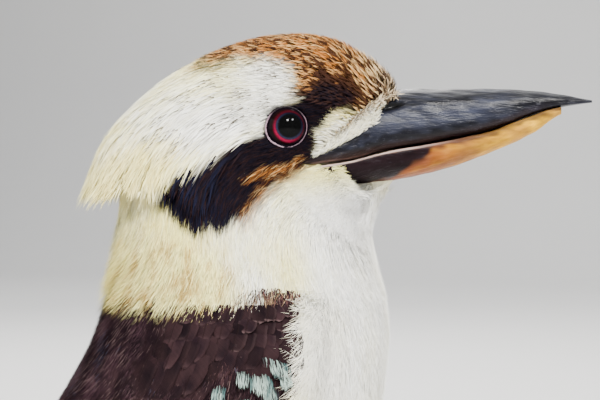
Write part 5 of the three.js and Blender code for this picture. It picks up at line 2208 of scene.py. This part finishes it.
@dataclass
class Wings:
    """Both folded wings: flight feathers, tiers of coverts, shoulder feathers and down over the arm."""

    tiers: tuple[Tier, ...] = tuple(Tier(*values, **common) for common, rows in TIERS for values in rows)
    # Fans of blue barbs on the side chart: across, down, half width and half height.
    fans: tuple[tuple[float, float, float, float], ...] = (
        (273, 360, 11, 5), (281, 371, 11, 6), (286, 383, 7, 4), (243, 382, 8, 5), (262, 387, 13, 7),
        (219, 397, 8, 5), (270, 397, 10, 4), (246, 410, 11, 5), (266, 414, 8, 5), (226, 419, 10, 5),
        (202, 414, 7, 4), (249, 431, 9, 5),
    )
    arm_rows: int = 26
    arm_columns: int = 30
    plum: Colour = (0.050, 0.026, 0.032)
    mauve: Colour = (0.13, 0.085, 0.08)
    steel: Colour = (0.06, 0.07, 0.11)
    tawny: Colour = (0.40, 0.27, 0.15)
    rust: Colour = (0.14, 0.065, 0.055)
    deep_blue: Colour = (0.06, 0.12, 0.12)
    pale_blue: Colour = (0.37, 0.48, 0.42)
    shadow: Colour = (0.02, 0.015, 0.02)

    def arm(self) -> Sheet:
        """Flesh of the folded arm under its feathers.

        Returns:
            The arm of the left wing.
        """
        u, v = grid(np.linspace(0, 1, self.arm_rows), np.linspace(0, 1, self.arm_columns))
        row, angle = 0.12 + 2.63 * u, np.radians(10 + 113 * v)
        dome = np.sqrt(np.maximum(0, 1 - (2 * v - 1) ** 6)) * np.minimum(1, 5 * u + 0.2) * (1 - u**2.5)
        top = WING_BED.place(row, angle, 0.9 + 3.6 * dome * wing_height(angle) * ease(0.05, 0.7, row))[0]
        low = WING_BED.place(row, angle, 0.5)[0]
        quads = grid_faces(self.arm_rows, self.arm_columns, False)
        faces = split_quads(np.concatenate([quads, quads[:, ::-1] + len(row)]))
        tint = np.full((len(row), 3), COAT.mantle)
        lay = np.stack([row, angle, 0 * row], axis=1)
        return two_sided(top, low, faces, (tint, tint), u, lay, np.stack([0.5 * v, u], axis=1))

    def down(self) -> Tuft:
        """Soft dark barbs over the shoulder, tipped buff along its upper edge.

        Returns:
            The blades of the left side.
        """

        def cover(rows: Array, angles: Array) -> Array:
            """Density of barbs: dense on the mantle and along the upper edge, sparse on the small coverts.

            Args:
                rows: Row numbers on the wing's bed.
                angles: Angles round the body.

            Returns:
                Density at each place.
            """
            turn = turn_of(angles)
            mantle = ease(110, 97, turn + 12 * ease(0.2, 1.4, rows)) * ease(3.1, 2.2, rows)
            start = COAT.back_row(turn) - WING_FROM - 0.1
            rim = ease(start + 0.5, start + 0.25, rows)
            shown = ease(start - 0.04, start, rows)
            return (0.04 + np.maximum(mantle, rim) * 0.96 + 0.5 * ease(3.6, 2.4, rows)) * shown

        roots = Roots(Raised(WING_BED, shoulder_rise), (-0.4, 3.2), (7, 124), 24000, 61, cover)
        row, turn, points, chance = roots.row, roots.turn, roots.points, roots.chance()
        light = np.clip(0.30 + 0.45 * wobble(points * [1, 1, 0.5], 9, 48) + 0.6 * (chance - 0.5), 0, 1)
        edge = mix(COAT.mantle, self.plum, light)
        edge = mix(edge, self.mauve, (roots.chance() < 0.10) * 0.7)
        blue = ease(0.6, 1.0, wobble(points * [1, 1, 0.4], 6, 49)) * ease(0.75, 0.95, chance)
        edge = mix(edge, self.steel, 0.6 * blue)
        start = COAT.back_row(turn) - WING_FROM
        front = ease(start + 0.22, start, row) * ease(88, 100, turn)
        edge = mix(edge, self.tawny, front * (roots.chance() < 0.3))
        rusty = ease(1.0, 0.2, row) * ease(86, 96, turn) * (roots.chance() < 0.35)
        edge = mix(edge, self.rust, 0.8 * rusty)
        loose = roots.chance()
        small = ease(92, 100, turn) * ease(0.2, 0.6, row)
        heights = (-1.0 - 0.4 * loose + small, 0.35 + 0.65 * loose + 0.5 * front * loose + 1.5 * small)
        length = roots.uniform(3.5, 7.5) * (1 - 0.35 * front)
        heading = roots.normal() * (0.13 + 0.2 * front) + 0.12 * wobble(points, 12, 50)
        width = roots.uniform(0.34, 0.64) * (1 - 0.3 * front)
        more = {"edge": edge, "shaft": edge * 0.9, "rows_in_all": WING_ROWS}
        return roots.tuft(heading, length, width, heights, **more)

    def blue(self) -> Tuft:
        """Pale blue barbs that fan out at the tips of some coverts.

        Returns:
            The blades of the left side.
        """
        roots = Roots(Raised(WING_BED, shoulder_rise), (0.6, 3.4), (84, 124), 26000, 62)
        loose = roots.chance()
        heading = 0.22 + roots.normal(0.12)
        lift = 1.3 * ease(1.9, 1.3, roots.row)
        heights = (0.2 + lift, 1.6 + 0.5 * loose + lift, 1.7 + 0.9 * loose + lift)
        width = roots.uniform(0.2, 0.36)
        tuft = roots.tuft(heading, roots.uniform(2.2, 3.6), width, heights, rows_in_all=WING_ROWS)
        chart = SideChart.of(tuft.at(0.6)[0])
        fans = np.array(self.fans, float)
        off = (chart[:, None] - fans[:, :2]) / fans[:, 2:]
        within = np.maximum(0, 1.1 - np.min(np.sum(off**2, axis=2), axis=1))
        keep = within > 0.15 + 0.4 * roots.chance()
        streak = 0.5 + 0.6 * wobble(roots.points * [1, 1, 0.1], 1.5, 63) + 0.7 * (loose - 0.5)
        edge = mix(self.deep_blue, self.pale_blue, np.clip(streak, 0, 1))
        edge = mix(edge, self.shadow, (roots.chance() < 0.2) * 0.9)
        return replace(tuft, edge=edge, shaft=edge * 0.8).kept(keep)

    def build(self) -> None:
        """Makes both wings."""
        vanes = [sheet for seed, tier in enumerate(self.tiers, 1) for sheet in tier.sheets(seed)]
        wing = Sheet.joined([self.arm(), *vanes])
        down = Sheet.joined([self.down().sheet(), self.blue().sheet()])
        for side in Side:
            piece = wing.on(side).build(f"wing_feathers_{side.value}", VANES, "plumage_brown", smooth=True)
            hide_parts(f"wing_{side.value}")
            down.on(side).build(f"coat_shoulder_{side.value}", BARBS, "plumage_brown")


@dataclass
class Tail:
    """Twelve tail feathers in a flat fan, with coverts over and under their quills.

    Lengths and widths are those of the middle and the outer pair.
    """

    root: Span = (-117, 61.5)
    slope: float = math.radians(25.4)
    pairs: int = 6
    lengths: Span = (152, 132)
    widths: Span = (21, 17)
    spread: float = 25
    camber: float = 0.0035
    drop: float = 0.95
    white_tip: float = 15
    covert_reach: tuple[float, ...] = (50, 38, 26)
    covert_width: float = 11.0
    coverts_across: int = 9

    def point(self, out: Array, across: Array, level: Array, height: Array) -> Array:
        """Points of the fan. The fan's tip rests on the floor.

        Args:
            out: How far out along the tail.
            across: How far to the left.
            level: Level over the fan's bed.
            height: Height over that level, never cut by the floor.

        Returns:
            One point each.
        """
        bed = self.root[1] - out * math.sin(self.slope) - self.camber * across**2 + level
        x = self.root[0] - out * math.cos(self.slope) + 0 * bed
        return np.stack([x, across + 0 * bed, np.maximum(bed, 0.15) + height], axis=-1)

    def feather(self, pair: int, side: int) -> Sheet:
        """One tail feather.

        Args:
            pair: Which pair, the middle one first.
            side: 1 for the left one, -1 for the right one.

        Returns:
            Its sheet.
        """
        f = pair / (self.pairs - 1)
        length = self.lengths[0] + (self.lengths[1] - self.lengths[0]) * f**1.6
        width = self.widths[0] + (self.widths[1] - self.widths[0]) * f
        under = -(pair * 2 + (side < 0)) * (self.drop / 2 + 0.02) - (side < 0) * 0.45

        def place(s: Array, b: Array, height: Array) -> Array:
            """Points of this feather."""
            across = side * (1.5 + pair * 1.6 + (self.spread - pair * 1.1) * f * s) + b
            return self.point(length * s - 6, across, under, height)

        number = 2 * pair + (side > 0)
        shape = VaneShape(width, 0.5, Marking.BARRED, 700 + number, 46, 13, 0.86, self.white_tip)
        return shape.sheet(place, length, (0.05 + 0.07 * number, 0.0))

    def covert(self, tier: int, i: int, is_upper: bool) -> Sheet:
        """One feather that hides the quills, above or below.

        Args:
            tier: Which tier, the longest first.
            i: Which feather of the tier.
            is_upper: Whether it is above the tail.

        Returns:
            Its sheet.
        """
        reach, lie = self.covert_reach[tier], 2 * i / (self.coverts_across - 1) - 1
        level = (1 if is_upper else -1) * (1.0 + (1 - abs(lie)) * 1.2 + 0.7 * tier)
        stack = 1.6 if is_upper else -self.drop * self.pairs - 1.2
        number = 800 + 100 * is_upper + 10 * tier + i
        lift = 0.3 * np.random.default_rng(number).uniform(-1, 1)

        def place(s: Array, b: Array, height: Array) -> Array:
            """Points of this covert."""
            out, across = reach * (1 - 0.2 * abs(lie)) * s - 8, 10.0 * lie * (1 + 0.4 * s) + b
            return self.point(out, across, (stack + level) * (1 - 0.2 * s) + lift, height)

        marking = Marking.BARRED if is_upper else Marking.PLAIN
        shape = VaneShape(self.covert_width, 0.25, marking, number, 11, 7)
        sheet = shape.sheet(place, float(reach), (0.1 * i, 0.8))
        if not is_upper:
            sheet.tint = mix(COAT.white, COAT.cream, np.clip(0.4 + 0.3 * wobble(sheet.points, 9, 51), 0, 1))
        return sheet

    def build(self) -> None:
        """Makes the tail."""
        parts = [self.feather(pair, side) for pair in range(self.pairs) for side in (1, -1)]
        for is_upper in (True, False):
            for tier in range(len(self.covert_reach)):
                parts += [self.covert(tier, i, is_upper) for i in range(self.coverts_across)]
        piece = Sheet.joined(parts).build("tail_feathers", TAIL_VANES, "plumage_rufous", smooth=True)
        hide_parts("tail")


# Feet


@dataclass
class Feet:
    """Scaled feet and claws, dressed on their solids."""

    toes: tuple[str, ...] = ("inner", "middle", "outer", "hind")

    def build(self) -> None:
        """Dresses both feet and all claws."""
        for side in Side:
            self.dress(f"foot_{side.value}", FOOT)
            for toe in self.toes:
                self.dress(f"claw_{toe}_{side.value}", CLAW)

    @staticmethod
    def dress(node: str, finish: Finish) -> None:
        """Gives a solid its finish.

        Args:
            node: Name of the solid.
            finish: The finish.
        """
        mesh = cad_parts[node].data
        mesh.materials.clear()
        mesh.materials.append(finish.material())
        log.info("%s dressed", node)


# Surroundings


def show(name: str, data: Any) -> bpy.types.Object:
    """Puts a mesh, light or camera into the scene.

    Args:
        name: Name of the object.
        data: What it shows.

    Returns:
        The object.
    """
    thing = bpy.data.objects.new(name, data)
    bpy.context.scene.collection.objects.link(thing)
    return thing


@dataclass(frozen=True)
class Lamp:
    """A soft square light aimed at the bird: its place and side in metres, its power in watts."""

    name: str
    place: tuple[float, float, float]
    size: float
    power: float
    colour: Colour

    def build(self, aim: Vector) -> None:
        """Makes the light.

        Args:
            aim: What it points at.
        """
        data = bpy.data.lights.new(self.name, "AREA")
        data.size = self.size
        data.energy = self.power
        data.color = self.colour
        lamp = show(self.name, data)
        lamp.location = self.place
        lamp.rotation_euler = (aim - lamp.location).to_track_quat("-Z", "Y").to_euler()


@dataclass
class Studio:
    """Pale floor, soft lights and the camera."""

    lens: float = 64.3
    sensor: float = 36
    nearest: float = 0.01
    floor_colour: Colour = (0.80, 0.79, 0.77)
    sky_colour: Colour = (0.88, 0.92, 1.0)
    sky_strength: float = 0.36
    aim: tuple[float, float, float] = (0.08, 0.0, 0.19)
    lamps: tuple[Lamp, ...] = (
        Lamp("key", (0.42, -0.85, 1.0), 0.19, 35.0, (1.0, 0.98, 0.94)),
        Lamp("window", (1.2, -0.84, 1.32), 0.2, 27.0, (0.97, 0.98, 1.0)),
        Lamp("fill", (-0.9, -0.9, 0.5), 0.9, 7.0, (0.92, 0.96, 1.0)),
        Lamp("far_side", (-0.3, 1.0, 0.9), 0.7, 10.0, (1.0, 0.98, 0.95)),
        Lamp("backdrop", (0.3, 1.0, 2.6), 2.4, 90.0, (1.0, 1.0, 1.0)),
    )

    def floor(self) -> None:
        """A wide floor that curves up into a backdrop far behind."""
        bend = np.linspace(0, math.pi / 2, 14)
        curve = [(2.2 + 0.9 * math.sin(a), 0.9 - 0.9 * math.cos(a)) for a in bend]
        profile = [(-6.0, 0.0), *curve, (3.1, 5.0)]
        points = np.array([(x, y, z) for y, z in profile for x in (-8.0, 8.0)])
        mesh = bpy.data.meshes.new("floor")
        mesh.from_pydata(points, [], grid_faces(len(profile), 2, False))
        mesh.shade_smooth()
        shader = Shader("floor_paint")
        shade = tuple(c * 0.96 for c in self.floor_colour)
        colour = shader.blend(shader.noise(6.0, 3.0), shade, self.floor_colour)
        mesh.materials.append(shader.dress(Base_Color=colour, Roughness=0.7))
        piece = show("floor", mesh)

    def camera(self) -> None:
        """The camera, level with the neck and a little ahead of the bird's right side."""
        data = bpy.data.cameras.new("camera")
        data.lens = self.lens
        data.sensor_width = self.sensor
        data.clip_start = self.nearest
        view = show("camera", data)
        target = (SideChart.centre + SHIFT) / MM_PER_METRE
        away = np.array([math.sin(SideChart.azimuth), -math.cos(SideChart.azimuth), 0.0])
        view.location = target + away * SideChart.distance / MM_PER_METRE
        view.rotation_euler = (Vector(target) - view.location).to_track_quat("-Z", "Y").to_euler()
        bpy.context.scene.camera = view

    def sky(self) -> None:
        """The pale light that comes from all round."""
        world = bpy.data.worlds.new("studio")
        world.use_nodes = True
        inputs = world.node_tree.nodes["Background"].inputs
        inputs["Color"].default_value = (*self.sky_colour, 1.0)
        inputs["Strength"].default_value = self.sky_strength
        bpy.context.scene.world = world

    def build(self) -> None:
        """Makes the surroundings."""
        self.floor()
        for lamp in self.lamps:
            lamp.build(Vector(self.aim))
        self.sky()
        self.camera()


def main() -> None:
    """Builds the bird and its surroundings."""
    logging.basicConfig(level=logging.INFO, format="%(message)s")
    bill, eye = Bill(), Eye()
    Plumage(bill, eye).build()
    Wings().build()
    Tail().build()
    bill.build()
    eye.build()
    Feet().build()
    Studio().build()


if __name__ == "__main__":
    main()
